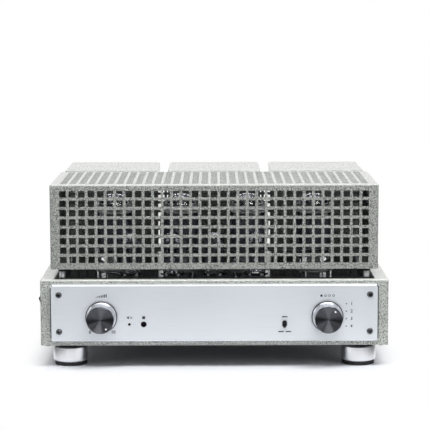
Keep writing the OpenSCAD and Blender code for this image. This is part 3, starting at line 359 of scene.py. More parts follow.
def rounded_rectangle(width, height, radius, centre=(0, 0), steps=8):
    made = []
    for quarter, (sx, sy) in enumerate(((1, 1), (-1, 1), (-1, -1), (1, -1))):
        for i in range(steps + 1):
            angle = pi / 2 * (quarter + i / steps)
            x = sx * (width / 2 - radius) + radius * cos(angle)
            y = sy * (height / 2 - radius) + radius * sin(angle)
            made.append((centre[0] + x, centre[1] + y))
    return made


def rounded(points, radius, steps=4):
    """The same open outline with its inner corners rounded off."""
    under_half = 0.49
    made = [points[0]]
    for before, corner, after in zip(points, points[1:], points[2:]):
        corner = Vector(corner)
        back = Vector(before) - corner
        ahead = Vector(after) - corner
        reach = min(radius, back.length * under_half, ahead.length * under_half)
        start = corner + back.normalized() * reach
        end = corner + ahead.normalized() * reach
        for i in range(steps + 1):
            t = i / steps
            made.append(tuple((1 - t) ** 2 * start + 2 * t * (1 - t) * corner + t * t * end))
    made.append(points[-1])
    return made


def skin(bm, rings, closed=False):
    """Joins each ring of vertices to the next. A ring of one vertex is a point."""
    pairs = list(zip(rings, rings[1:]))
    if closed:
        pairs.append((rings[-1], rings[0]))
    faces = []
    for low, high in pairs:
        count = max(len(low), len(high))
        for i in range(count):
            j = (i + 1) % count
            corners = [low[i % len(low)], low[j % len(low)], high[j % len(high)], high[i % len(high)]]
            unique = list(dict.fromkeys(corners))
            if len(unique) > 2:
                faces.append(bm.faces.new(unique))
    return faces


def add_turned(bm, profile, centre=(0, 0, 0), facing="up", steps=96, closed=False):
    """Turns (radius, height) points about an axis through centre. A closed profile makes a ring."""
    turn = TURNS[facing]
    rings = []
    for radius, height in profile:
        places = circle(radius, 1 if radius < ON_AXIS else steps)
        rings.append([bm.verts.new(Vector(centre) + turn @ Vector((x, y, height))) for x, y in places])
    bmesh.ops.recalc_face_normals(bm, faces=skin(bm, rings, closed))


def turned(name, profile, centre=(0, 0, 0), facing="up", steps=96, closed=False):
    bm = bmesh.new()
    add_turned(bm, profile, centre, facing, steps, closed)
    return settle(object_from(bm, name))


def add_prism(bm, outline, low, high):
    """A closed outline in X and Y, drawn up from low to high."""
    bottom = [bm.verts.new((x, y, low)) for x, y in outline]
    top = [bm.verts.new((x, y, high)) for x, y in outline]
    faces = [bm.faces.new(bottom[::-1]), bm.faces.new(top)]
    bmesh.ops.recalc_face_normals(bm, faces=faces + skin(bm, [bottom, top]))


def add_wire(bm, points, radius, sides=10, closed=False):
    """A round wire along a row of points."""
    points = [Vector(p) for p in points]
    count = len(points)
    rings = []
    for i, place in enumerate(points):
        before = points[i - 1] if closed or i > 0 else points[0]
        after = points[(i + 1) % count] if closed or i < count - 1 else points[-1]
        ahead = (after - before).normalized()
        side = ahead.orthogonal().normalized() if i == 0 else side - ahead * side.dot(ahead)
        side.normalize()
        across = ahead.cross(side)
        ring = circle(1, sides)
        rings.append([bm.verts.new(place + radius * (x * side + y * across)) for x, y in ring])
    faces = skin(bm, rings, closed)
    if not closed:
        faces.append(bm.faces.new(rings[0][::-1]))
        faces.append(bm.faces.new(rings[-1]))
    bmesh.ops.recalc_face_normals(bm, faces=faces)


def flat_piece(curve, name, facing, place):
    """A flat curve as a mesh that faces the front or the rear."""
    holder = new_object(name, curve)
    bpy.context.view_layer.update()
    piece = settle(holder)
    piece.data.transform(Matrix.Translation(place) @ TURNS[facing].to_4x4())
    return piece


# Folded sheet

SHEET = 1.5 * MM
FOLD = 1.8 * MM
CHASSIS_FOLD = 2.0 * MM
FOLD_ANGLE = radians(60)
SOFTEN_ANGLE = radians(50)


def fold_edges(bm, radius, highlight_paint):
    """Rounds a sheet's folds. Those along the top take a lighter paint, a painted highlight, and upright ones
    the first paint.
    """
    upright = 0.1
    bm.normal_update()
    folds = [e for e in bm.edges if len(e.link_faces) == 2 and e.calc_face_angle() > FOLD_ANGLE]
    bmesh.ops.bevel(
        bm, geom=folds, offset=radius, segments=5, profile=0.5, affect="EDGES", material=highlight_paint)
    bm.normal_update()
    for face in bm.faces:
        if face.material_index == highlight_paint and abs(face.normal.z) < upright:
            face.material_index = 0


def sheet_piece(bm, name, paints, thickness, edge, inside=0, rim=0):
    """Gives a sheet its thickness, inwards, and softens its edges.

    inside and rim say how many paints further down the list the inner side and the rim find theirs.
    """
    piece = object_from(bm, name)
    for paint in paints:
        piece.data.materials.append(paint)
    solid = piece.modifiers.new("thickness", "SOLIDIFY")
    solid.thickness = thickness
    solid.offset = -1
    solid.material_offset = inside
    solid.material_offset_rim = rim
    bevel = piece.modifiers.new("edge", "BEVEL")
    bevel.width = edge
    bevel.segments = 2
    bevel.limit_method = "ANGLE"
    bevel.angle_limit = SOFTEN_ANGLE
    piece.modifiers.new("normals", "WEIGHTED_NORMAL").keep_sharp = True
    return settle(piece)


def sheet_box(name, low, high, fold, paint, edge, openings=(), shade_painted_wall=""):
    """A folded sheet box, open below. An opening cuts a wall or, where it is None, leaves the wall out. Its
    top folds take the edge paint, a painted highlight, and one wall may take a much darker paint, a painted
    shade.
    """
    bm = bmesh.new()
    xs, ys, zs = zip(low, high)
    corners = [bm.verts.new((x, y, z)) for x in xs for y in ys for z in zs]
    # A corner's number is the sum of 4 for the right, 2 for the rear and 1 for the top
    walls = {
        "front": (0, 4, 5, 1), "rear": (6, 2, 3, 7), "left": (2, 0, 1, 3), "right": (4, 6, 7, 5),
        "top": (1, 5, 7, 3),
    }
    cuts = dict(openings)
    for wall, numbers in walls.items():
        ring = [corners[number] for number in numbers]
        if wall not in cuts:
            # One wall can take the third paint, which paints shade on it.
            bm.faces.new(ring).material_index = 2 if wall == shade_painted_wall else 0
        elif cuts[wall] is not None:
            skin(bm, [ring, [bm.verts.new(p) for p in cuts[wall]]])
    fold_edges(bm, fold, 1)
    return sheet_piece(bm, name, (paint, edge, COVER_FRONT_PAINTED_SHADE), SHEET, 0.25 * MM)


# Chassis, covers and cage

def chassis():
    low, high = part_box("chassis")
    deck_low, deck_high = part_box("deck_plate")
    deck_lap = 16 * MM
    left, right = deck_low.x + deck_lap, deck_high.x - deck_lap
    front, rear = deck_low.y + deck_lap, deck_high.y - deck_lap
    deck_cut = [(left, front, high.z), (right, front, high.z), (right, rear, high.z), (left, rear, high.z)]
    switch_low, switch_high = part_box("power_switch")
    bezel_lap = 0.9 * MM
    front, rear = switch_low.y + bezel_lap, switch_high.y - bezel_lap
    bottom, top = switch_low.z + bezel_lap, switch_high.z - bezel_lap
    switch_cut = [(low.x, rear, bottom), (low.x, front, bottom), (low.x, front, top), (low.x, rear, top)]
    cuts = [("top", deck_cut), ("left", switch_cut), ("rear", None)]
    # The top folds take a much lighter paint, a painted highlight.
    shell = sheet_box("chassis_shell", low, high, CHASSIS_FOLD, HAMMERTONE, CHASSIS_PAINTED_HIGHLIGHT, cuts)
    dress(shell, HAMMERTONE, replaced=["chassis"])


def covers():
    for node in ("left_output_cover", "power_supply_cover", "right_output_cover"):
        low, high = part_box(node)
        # Each cover's front takes a much darker paint, painted shade, and its top folds a lighter paint, a
        # painted highlight.
        shell = sheet_box(node + "_shell", low, high, FOLD, CAGE_TONE_AND_PAINTED_SHADE, EDGE_PAINTED_HIGHLIGHT, shade_painted_wall="front")
        dress(shell, CAGE_TONE_AND_PAINTED_SHADE, replaced=[node])


HOLE = 7.6 * MM
PITCH = 10.85 * MM


def add_grille(bm, corner, along, up, length, height, first, counts):
    """A wall of square holes. first is the near corner of the first hole, measured from corner."""
    def place(u, v):
        return bm.verts.new(corner + along * u + up * v)

    us = [first[0] + PITCH * (i // 2) + HOLE * (i % 2) for i in range(2 * counts[0])]
    vs = [first[1] + PITCH * (j // 2) + HOLE * (j % 2) for j in range(2 * counts[1])]
    grid = [[place(u, v) for v in vs] for u in us]
    for i in range(len(us) - 1):
        for j in range(len(vs) - 1):
            if i % 2 or j % 2:
                bm.faces.new((grid[i][j], grid[i + 1][j], grid[i + 1][j + 1], grid[i][j + 1]))
    a, b, c, d = place(0, 0), place(length, 0), place(length, height), place(0, height)
    bm.faces.new([a, b] + [row[0] for row in reversed(grid)])
    bm.faces.new([b, c] + list(reversed(grid[-1])))
    bm.faces.new([c, d] + [row[-1] for row in grid])
    bm.faces.new([d, a] + grid[0])


def grid_start(node, axis, count):
    """Where the first hole of a node's centred row starts."""
    low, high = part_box(node)
    return (low[axis] + high[axis] - PITCH * (count - 1) - HOLE) / 2


def cage():
    """Five perforated walls. Their insides and the rims of the side walls' holes are painted near-black, a
    painted shade, and the other hole rims and the top folds take a lighter paint, a painted highlight.
    """
    front_low, front_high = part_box("cage_front")
    top_low, top_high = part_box("cage_top")
    low = front_low
    high = Vector((front_high.x, top_high.y, front_high.z))
    width, depth, height = high - low
    across, back, rise = 33, 12, 8
    x, y, z = Vector((1, 0, 0)), Vector((0, 1, 0)), Vector((0, 0, 1))
    start_x = grid_start("cage_front", 0, across) - low.x
    start_y = grid_start("cage_top", 1, back) - low.y
    end_y = depth - start_y - PITCH * (back - 1) - HOLE
    start_z = grid_start("cage_front", 2, rise) - low.z
    side_drop = 0.6 * MM
    side_z = start_z - side_drop
    wall, side, roof = (across, rise), (back, rise), (across, back)
    bm = bmesh.new()
    add_grille(bm, low, x, z, width, height, (start_x, start_z), wall)
    add_grille(bm, Vector((low.x, low.y, high.z)), x, y, width, depth, (start_x, start_y), roof)
    add_grille(bm, Vector((low.x, high.y, low.z)), -y, z, depth, height, (end_y, side_z), side)
    add_grille(bm, Vector((high.x, low.y, low.z)), y, z, depth, height, (start_y, side_z), side)
    add_grille(bm, Vector((high.x, high.y, low.z)), -x, z, width, height, (start_x, start_z), wall)
    bmesh.ops.remove_doubles(bm, verts=bm.verts, dist=0.01 * MM)
    fold_edges(bm, FOLD, 2)
    # Side walls take the paints from the fifth on, so that the rims of their holes get the near-black painted
    # shade.
    sideways = 0.9
    for face in bm.faces:
        if abs(face.normal.x) > sideways:
            face.material_index = 4
    # The cage paint is partly painted shade, the near-black paint inside and on the side rims is painted
    # shade, and the edge paint is a painted highlight.
    paints = (CAGE_TONE_AND_PAINTED_SHADE, DARK_PAINT_AND_PAINTED_SHADE, EDGE_PAINTED_HIGHLIGHT, DARK_PAINT_AND_PAINTED_SHADE, CAGE_TONE_AND_PAINTED_SHADE, DARK_PAINT_AND_PAINTED_SHADE, DARK_PAINT_AND_PAINTED_SHADE)
    piece = sheet_piece(bm, "cage_shell", paints, 1.2 * MM, 0.14 * MM, inside=1, rim=2)
    dress(piece, CAGE_TONE_AND_PAINTED_SHADE, "cage", ["cage_front", "cage_top", "cage_walls"])


# Front panel and its print

SCREW_X = 178 * MM
SCREW_Z = 21.35 * MM
SCREW_HOLE_R = 2.2 * MM
PANEL_HOLE_R = {
    "volume_shaft": 4.7 * MM, "selector_shaft": 4.7 * MM, "mute_lamp": 1.4 * MM, "remote_window": 3.2 * MM,
}


def chamfered_plate(name, loops, thickness, place):
    """A plate that faces the front. Each loop is (outline, the outline on the face, depth of its chamfer)."""
    bm = bmesh.new()
    face_edges = []
    back_edges = []
    for outline, on_face, depth in loops:
        levels = ((outline, -thickness / 2), (outline, thickness / 2 - depth), (on_face, thickness / 2))
        rings = [[bm.verts.new((x, y, z)) for x, y in points] for points, z in levels]
        for number, pair in enumerate(zip(rings, rings[1:])):
            for face in skin(bm, pair):
                face.material_index = number
        for ring, edges in ((rings[0], back_edges), (rings[-1], face_edges)):
            edges.extend(bm.edges.get((a, b)) for a, b in zip(ring, ring[1:] + ring[:1]))
    for edges in (back_edges, face_edges):
        bmesh.ops.triangle_fill(bm, use_beauty=True, edges=edges)
    bmesh.ops.recalc_face_normals(bm, faces=bm.faces)
    turn = Matrix.Translation(place) @ TURNS["front"].to_4x4()
    bmesh.ops.transform(bm, matrix=turn, verts=bm.verts)
    return settle(object_from(bm, name))


def front_panel():
    low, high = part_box("front_panel")
    centre = (low + high) / 2
    width, thickness, height = high - low
    corner_r = 3.5 * MM
    edge = 1.2 * MM
    hole_edge = 0.25 * MM
    face = rounded_rectangle(width - 2 * edge, height - 2 * edge, corner_r - edge)
    loops = [(rounded_rectangle(width, height, corner_r), face, edge)]

    def hole(radius, x, z):
        outline, rim = [circle(r, 48, (x, z)) for r in (radius, radius + hole_edge)]
        loops.append((outline, rim, hole_edge))

    for node, radius in PANEL_HOLE_R.items():
        place = middle(node) - centre
        hole(radius, place.x, place.z)
    for sx in SIDES:
        for sz in SIDES:
            hole(SCREW_HOLE_R, sx * SCREW_X, sz * SCREW_Z)
    slot_w, slot_h, slot_r = 5.2 * MM, 8.2 * MM, 2.59 * MM
    place = middle("mode_switch") - centre
    slot, rim = [rounded_rectangle(slot_w + 2 * grow, slot_h + 2 * grow, slot_r + grow, (place.x, place.z))
                 for grow in (0, hole_edge)]
    loops.append((slot, rim, hole_edge))
    piece = chamfered_plate("front_panel_plate", loops, thickness, centre)
    piece.data.materials.append(BRUSHED)
    piece.data.materials.append(POLISHED)
    dress(piece, BRUSHED, replaced=["front_panel"])


PRINT_T = 0.06 * MM
PRINT_EDGE = 0.005 * MM
LABEL_RISE = 24 * MM
NUMBER_SIZE = 5.0 * MM


def panel_place(x, z):
    """The middle of a print on the panel's front face."""
    low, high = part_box("front_panel")
    return Vector((x, low.y - PRINT_T / 2, z))


def print_loops(name, loops, x, z):
    """A flat sign on the front panel: the first loop is its outline and the others are holes."""
    curve = bpy.data.curves.new(name, "CURVE")
    curve.dimensions = "2D"
    curve.fill_mode = "BOTH"
    curve.extrude = PRINT_T / 2 - PRINT_EDGE
    curve.bevel_depth = PRINT_EDGE
    curve.bevel_resolution = 2
    curve.offset = -PRINT_EDGE
    for loop in loops:
        spline = curve.splines.new("POLY")
        spline.points.add(len(loop) - 1)
        for point, (across, up) in zip(spline.points, loop):
            point.co = (across, up, 0, 1)
        spline.use_cyclic_u = True
    dress(flat_piece(curve, name, "front", panel_place(x, z)), PRINT)


def print_number(name, text, place, size=NUMBER_SIZE, facing="front", weight=0.02):
    curve = bpy.data.curves.new(name, "FONT")
    curve.body = text
    curve.size = size
    curve.align_x = "CENTER"
    curve.align_y = "CENTER"
    curve.extrude = PRINT_T / 2
    curve.offset = weight * size
    dress(flat_piece(curve, name, facing, place), PRINT)


def volume_print():
    """A rising row of bars over the knob, and the ends of its range below."""
    knob_at = middle("volume_knob")
    count = 7
    bar_w, step = 1.1 * MM, 1.9 * MM
    least, growth, drop = 0.8 * MM, 0.55 * MM, 1.6 * MM
    for i in range(count):
        height = least + growth * i
        loop = bar(bar_w, height, (i - (count - 1) / 2) * step, height / 2 - drop)
        print_loops("volume_sign_%d" % (i + 1), [loop], knob_at.x, knob_at.z + LABEL_RISE)
    end_x, end_z = 13.4 * MM, knob_at.z - 18 * MM
    print_number("volume_low", "0", panel_place(knob_at.x - end_x, end_z))
    print_number("volume_high", "10", panel_place(knob_at.x + end_x, end_z))


def selector_print():
    """Four circles over the knob, the first of them filled, and a dot and a number at each position."""
    knob_at = middle("selector_knob")
    sign_r, sign_t, sign_step = 1.4 * MM, 0.5 * MM, 4.6 * MM
    for i in range(4):
        loops = [circle(sign_r, 40)]
        if i > 0:
            loops.append(circle(sign_r - sign_t, 40))
        x = knob_at.x + (i - 1.5) * sign_step
        print_loops("selector_sign_%d" % (i + 1), loops, x, knob_at.z + LABEL_RISE)
    dot_r, dot_step = 0.75 * MM, 8.7 * MM
    dot_x, number_x = knob_at.x + 21.7 * MM, knob_at.x + 27.7 * MM
    first_z = knob_at.z + 14.6 * MM
    for i in range(4):
        z = first_z - i * dot_step
        print_loops("selector_dot_%d" % (i + 1), [circle(dot_r, 24)], dot_x, z)
        print_number("selector_number_%d" % (i + 1), str(i + 1), panel_place(number_x, z))


def sensor_print():
    """A horn with a cross over the mute lamp, and a square over the remote window."""
    lamp = middle("mute_lamp")
    window = middle("remote_window")
    sign_z = lamp.z + 7.9 * MM
    horn_x, cross_x = lamp.x - 1.8 * MM, lamp.x + 2.2 * MM
    horn = in_mm([(-1.0, -0.8), (0.2, -0.8), (1.5, -2.0), (1.5, 2.0), (0.2, 0.8), (-1.0, 0.8)])
    print_loops("mute_sign_horn", [horn], horn_x, sign_z)
    arm, half = 1.2 * MM, 0.36 * MM
    for turn, name in ((1, "rising"), (-1, "falling")):
        stroke = [(-arm - half, -turn * arm), (-arm + half, -turn * arm),
                  (arm + half, turn * arm), (arm - half, turn * arm)]
        print_loops("mute_sign_" + name, [stroke], cross_x, sign_z)
    square_w, square_r = 3.4 * MM, 0.4 * MM
    print_loops("remote_sign", [rounded_rectangle(square_w, square_w, square_r)], window.x, sign_z)


def mode_print():
    """One dash over the lever and two below it."""
    mode = middle("mode_switch")
    rise = 8.6 * MM
    dash_w, dash_h, dash_step = 6.2 * MM, 1.3 * MM, 8.6 * MM
    for count, z in ((1, mode.z + rise), (2, mode.z - rise)):
        for i in range(count):
            x = mode.x + (i - (count - 1) / 2) * dash_step
            print_loops("mode_sign_%d_%d" % (count, i + 1), [bar(dash_w, dash_h)], x, z)


def rear_print():
    """Numbers for the pairs of jacks and for the taps of the speaker posts."""
    low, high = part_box("rear_panel")
    y = high.y + PRINT_T / 2
    rise = 7.5 * MM
    look = {"size": 9.0 * MM, "facing": "rear", "weight": 0.04}
    jacks_low, jacks_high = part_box("input_jacks")
    jack_step = 22 * MM
    for i in range(4):
        x = (jacks_low.x + jacks_high.x) / 2 + (i - 1.5) * jack_step
        print_number("jack_number_%d" % (i + 1), str(i + 1), Vector((x, y, jacks_high.z + rise)), **look)
    for i in range(6):
        cap_low, cap_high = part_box("speaker_cap_%d" % (i + 1))
        x = (cap_low.x + cap_high.x) / 2
        tap = "048"[i % 3]
        print_number("speaker_number_%d" % (i + 1), tap, Vector((x, y, cap_high.z + rise)), **look)


# Knobs, feet and screws

KNOB_STEPS = 128


def knob(name, body, dot_angle):
    """A dark skirt, a turned body and a dished face with a white dot."""
    low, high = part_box(name)
    centre = Vector(((low.x + high.x) / 2, high.y, (low.z + high.z) / 2))
    length = high.y - low.y
    base_r = (high.x - low.x) / 2
    body_r = base_r - 0.9 * MM
    face_r = 15.6 * MM
    bore_r, bore_l = 3.05 * MM, 17 * MM
    skirt_l, cap_l, dish = 2.2 * MM, 2.1 * MM, 1.4 * MM

    def turn_piece(part, profile, material, steps=KNOB_STEPS, place=centre, closed=False):
        piece = turned(name + part, profile, place, "front", steps, closed)
        dress(piece, material, body, [name])

    step_r, step_l = body_r - 0.3 * MM, skirt_l - 0.6 * MM
    skirt = [
        (bore_r, 0), (base_r - 0.4 * MM, 0), (base_r, 0.4 * MM), (base_r, skirt_l - 0.3 * MM),
        (base_r - 0.3 * MM, skirt_l), (step_r, skirt_l), (step_r, step_l), (bore_r, step_l),
    ]
    turn_piece("_skirt", skirt, SKIRT, closed=True)
    side = [
        (bore_r, skirt_l - 0.5 * MM), (body_r - 0.2 * MM, skirt_l - 0.5 * MM), (body_r, skirt_l + 0.3 * MM),
        (face_r, skirt_l + 2.4 * MM), (face_r, length - cap_l), (0, length - cap_l),
    ]
    turn_piece("_body", [(0, bore_l), (bore_r, bore_l)] + rounded(side, 0.35 * MM), KNOB_SIDE)
    rim_r = face_r - 0.7 * MM

    def sunk(radius):
        return dish * (1 - (radius / rim_r) ** 2)

    radii = [rim_r * i / 12 for i in range(13)]
    rim = [(face_r - 0.15 * MM, length - 0.5 * MM), (face_r, length - 0.8 * MM),
           (face_r, length - cap_l), (0, length - cap_l)]
    turn_piece("_face", [(radius, length - sunk(radius)) for radius in radii] + rim, KNOB_FACE)
    dot = in_mm([(0, 0.12), (1.0, 0.12), (1.2, 0.02), (1.2, -0.1), (0, -0.1)])
    dot_r = 12.2 * MM
    turn = radians(dot_angle)
    place = centre + Vector((sin(turn) * dot_r, sunk(dot_r) - length, cos(turn) * dot_r))
    turn_piece("_dot", dot, WHITE_PRINT, 32, place)


def feet():
    """Turned metal feet with a bolt hole, and the rubber pads under them."""
    low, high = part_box("feet")
    radius = 20.5 * MM
    height = high.z - low.z
    bolt_r, seat = 5.2 * MM, 8 * MM
    outline = [
        (bolt_r, seat), (bolt_r, 0), (radius - 1.0 * MM, 0), (radius, 1.0 * MM), (radius, height - 1.2 * MM),
        (radius - 1.0 * MM, height), (0, height),
    ]
    foot = turned("foot", [(0, seat)] + rounded(outline, 0.4 * MM), steps=128)
    xs = (low.x + radius, high.x - radius)
    ys = (low.y + radius, high.y - radius)
    places = [(x, y, low.z) for y in ys for x in xs]
    for piece in copies(foot, places):
        dress(piece, FOOT_METAL, replaced=["feet"])
    pad_low, pad_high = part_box("foot_pads")
    pad_r = 18.75 * MM
    pad_h = pad_high.z - pad_low.z
    groove = [(pad_r - inward, depth) for inward, depth in in_mm([(4, 0), (5, 1), (7, 1), (8, 0)])]
    outline = [(0, pad_h), (pad_r, pad_h), (pad_r, 0)] + groove + [(0, 0)]
    pad = turned("foot_pad", rounded(outline, 0.5 * MM))
    for piece in copies(pad, [(x, y, pad_low.z) for x, y, z in places]):
        dress(piece, RUBBER, replaced=["foot_pads"])


def panel_screws():
    """Dome heads with a hexagon socket."""
    head_r, head_h, rim_h = 3.6 * MM, 2.2 * MM, 0.25 * MM
    socket_r, socket_d = 1.5 * MM, 1.2 * MM
    crown_r = socket_r + 0.35 * MM
    shank_r, shank_l = 2.0 * MM, 15 * MM
    sweep = radians(52)
    steps = 8
    outline = [(shank_r, -shank_l), (shank_r, 0), (head_r, 0), (head_r, rim_h)]
    for i in range(1, steps + 1):
        share = i / steps
        height = rim_h + (head_h - rim_h) * sin(sweep * share) / sin(sweep)
        outline.append((head_r - (head_r - crown_r) * share, height))
    sides = 96
    bm = bmesh.new()
    rings = []
    for radius, height in outline:
        rings.append([bm.verts.new((x, -height, z)) for x, z in circle(radius, sides)])
    for depth in (head_h, head_h - socket_d):
        hexagon = []
        for x, z in circle(1.0, sides):
            angle = atan2(z, x) % (pi / 3) - pi / 6
            reach = socket_r * cos(pi / 6) / cos(angle)
            hexagon.append(bm.verts.new((x * reach, -depth, z * reach)))
        rings.append(hexagon)
    skin(bm, rings)
    bm.faces.new(rings[0])
    bm.faces.new(rings[-1])
    bmesh.ops.recalc_face_normals(bm, faces=bm.faces)
    screw = settle(object_from(bm, "panel_screw"))
    panel_low, panel_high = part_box("front_panel")
    middle_z = (panel_low.z + panel_high.z) / 2
    places = [(sx * SCREW_X, panel_low.y, middle_z + sz * SCREW_Z) for sx in SIDES for sz in SIDES]
    for piece in copies(screw, places):
        dress(piece, DARK_CHROME, replaced=["panel_screws"])


# What both kinds of tube share

TUBE_NUMBERS = range(1, 5)


def mica_discs(name, radius, teeth, notch, thickness, levels):
    """Discs with shallow notches round their edges."""
    outline = []
    for i, (x, y) in enumerate(circle(1.0, teeth * 4)):
        reach = radius - (notch if i % 4 in (2, 3) else 0)
        outline.append((reach * x, reach * y))
    bm = bmesh.new()
    for low in levels:
        add_prism(bm, outline, low, low + thickness)
    return settle(object_from(bm, name))


def dome_outline(radius, low, high, squareness, steps=16):
    """The outline of a squared dome that closes on its axis."""
    made = []
    for i in range(steps):
        angle = pi / 2 * i / steps
        made.append((radius * cos(angle) ** squareness, low + (high - low) * sin(angle) ** squareness))
    return made + [(0.0, high)]


def flash_film(name, outline, from_z, inset):
    """The bright film inside a bulb's top."""
    film = [(max(0.0, r - inset), z - inset) for r, z in outline if z > from_z]
    return turned(name, film[::-1])


def pin_ring(name, places, radius, length, top):
    """Pins that hang down from top."""
    tip = 0.5 * MM
    profile = [(0, -length), (radius - tip / 2, -length), (radius, -length + tip), (radius, 0), (0, 0)]
    bm = bmesh.new()
    for x, y in places:
        add_turned(bm, profile, (x, y, top), steps=16)
    return settle(object_from(bm, name))


# Power tubes, made about the top of their base

BASE_R = 21.5 * MM
BASE_H = 14 * MM
CORE_R = BASE_R - 0.7 * MM
BULB_H = 74 * MM
BULB_R = 25 * MM
BULB_T = 1.2 * MM
STAND = 9 * MM
STACK_TOP = STAND + 41 * MM


def power_tube_wafer():
    """The moulded base with its key."""
    bevel = 0.6 * MM
    key_r, key_tip = 4.0 * MM, 1 * MM
    key_low = -BASE_H - 12 * MM
    base = [(0, -BASE_H), (CORE_R - bevel, -BASE_H), (CORE_R, bevel - BASE_H), (CORE_R, -0.5 * MM),
            (0, -0.4 * MM)]
    key = [(0, key_low), (key_r - key_tip, key_low), (key_r, key_low + key_tip), (key_r, -BASE_H)]
    bm = bmesh.new()
    add_turned(bm, base)
    add_turned(bm, key, steps=32)
    return settle(object_from(bm, "power_tube_wafer"))


def power_tube_sleeve():
    """The bright metal ring round the base, drawn in at its top."""
    foot_z = 0.3 * MM - BASE_H
    lip_r = BASE_R - 2.2 * MM
    outline = [
        (CORE_R, foot_z), (BASE_R - 0.3 * MM, foot_z), (BASE_R, foot_z + 0.4 * MM), (BASE_R, -1.6 * MM),
        (BASE_R - 0.5 * MM, -0.5 * MM), (lip_r, 0), (lip_r, -0.5 * MM), (CORE_R, -1.2 * MM),
    ]
    return turned("power_tube_sleeve", outline, closed=True)


def power_tube_anode():
    """A rounded box with a fin at each end and four ribs."""
    box_w, box_d, box_r = 20 * MM, 13 * MM, 4 * MM
    fin_w, fin_t, fin_r, fin_x = 7 * MM, 0.9 * MM, 0.4 * MM, 12.5 * MM
    rib_w, rib_r, rib_x, rib_y = 1.6 * MM, 0.7 * MM, 5 * MM, 6.6 * MM
    low = STAND + 0.9 * MM
    rib_low, rib_high = STAND + 2 * MM, STACK_TOP - 1.2 * MM
    bm = bmesh.new()
    add_prism(bm, rounded_rectangle(box_w, box_d, box_r), low, STACK_TOP)
    for sx in SIDES:
        add_prism(bm, rounded_rectangle(fin_w, fin_t, fin_r, (sx * fin_x, 0), 3), low, STACK_TOP)
        for sy in SIDES:
            rib = rounded_rectangle(rib_w, rib_w, rib_r, (sx * rib_x, sy * rib_y), 3)
            add_prism(bm, rib, rib_low, rib_high)
    return settle(object_from(bm, "power_tube_anode"))


def power_tube_wires():
    """Leads under the stack, rods over it, and two rings on masts."""
    lead_r, rod_r, mast_r, ring_wire_r = 0.45 * MM, 0.6 * MM, 0.5 * MM, 0.75 * MM
    rod_x, rod_y, rod_top = 8.2 * MM, 5.4 * MM, STACK_TOP + 3 * MM
    mast_x, mast_low, mast_top = 6 * MM, STACK_TOP + 0.8 * MM, STACK_TOP + 8 * MM
    ring_r = 4.2 * MM
    bm = bmesh.new()
    for sx in SIDES:
        for sy in SIDES:
            foot = (sx * 3.2 * MM, sy * 1.2 * MM, 6.5 * MM)
            knee = (sx * 7.4 * MM, sy * 3.6 * MM, STAND - 0.4 * MM)
            add_wire(bm, [foot, knee, (knee[0], knee[1], STAND)], lead_r)
            x, y = sx * rod_x, sy * rod_y
            add_wire(bm, [(x, y, STACK_TOP), (x, y, rod_top)], rod_r)
        x = sx * mast_x
        add_wire(bm, [(x, 0, mast_low), (x, 0, mast_top)], mast_r)
        ring = [(x + u, v, mast_top) for u, v in circle(ring_r, 32)]
        add_wire(bm, ring, ring_wire_r, closed=True)
    return settle(object_from(bm, "power_tube_wires"))


def bulb_outline(steps=16):
    """A bulb that swells from its foot to its waist and closes in a squared dome."""
    foot_r = BASE_R - 2.5 * MM
    waist_z = 0.42 * BULB_H
    side = []
    for i in range(steps):
        t = i / steps
        side.append((foot_r + (BULB_R - foot_r) * sin(pi / 2 * t), waist_z * t))
    return side + dome_outline(BULB_R, waist_z, BULB_H, 0.75)


def power_tube_pieces():
    """Each piece of a power tube with its material."""
    wafer = power_tube_wafer()
    pins = pin_ring("power_tube_pins", circle(8.75 * MM, 8), 1.2 * MM, 11 * MM, -BASE_H)
    sleeve = power_tube_sleeve()
    anode = power_tube_anode()
    mica = mica_discs("power_tube_mica", 14.5 * MM, 20, 0.7 * MM, 0.7 * MM, (STAND, STACK_TOP + 0.1 * MM))
    stem_outline = in_mm([(0, 0), (13, 0), (12.4, 1), (7, 2.5), (5, 6), (4.4, 7.4), (0, 7.6)])
    stem = turned("power_tube_stem", rounded(stem_outline, 0.8 * MM), steps=48)
    wires = power_tube_wires()
    outline = bulb_outline()
    inner = [(max(0.0, r - BULB_T), z - BULB_T * z / BULB_H) for r, z in outline]
    glass = turned("power_tube_bulb", outline + inner[::-1])
    flash = flash_film("power_tube_flash", outline, 0.9 * BULB_H, BULB_T + 0.25 * MM)
    return [(wafer, BAKELITE), (pins, NICKEL), (sleeve, CHROME), (anode, ANODE), (mica, MICA), (stem, MICA),
            (wires, NICKEL), (glass, GLASS), (flash, GETTER)]


def power_tubes():
    places = [underside("power_tube_%d_glass" % number) for number in TUBE_NUMBERS]
    for piece, material in power_tube_pieces():
        part = "glass" if material is GLASS else "base"
        for number, one in zip(TUBE_NUMBERS, copies(piece, places)):
            body = "power_tube_%d" % number
            dress(one, material, body, ["%s_%s" % (body, part)])


# Small tubes, made about the underside of their glass button

SMALL_R = 11 * MM
SMALL_H = 47 * MM
SMALL_T = 1.0 * MM
BUTTON_H = 3 * MM
SMALL_PIN_L = 7 * MM
# Nine pins on a circle of ten equal steps
SMALL_PIN_PLACES = circle(5.95 * MM, 10)[:9]
SMALL_STAND = 8 * MM
SMALL_STACK_TOP = SMALL_STAND + 21 * MM


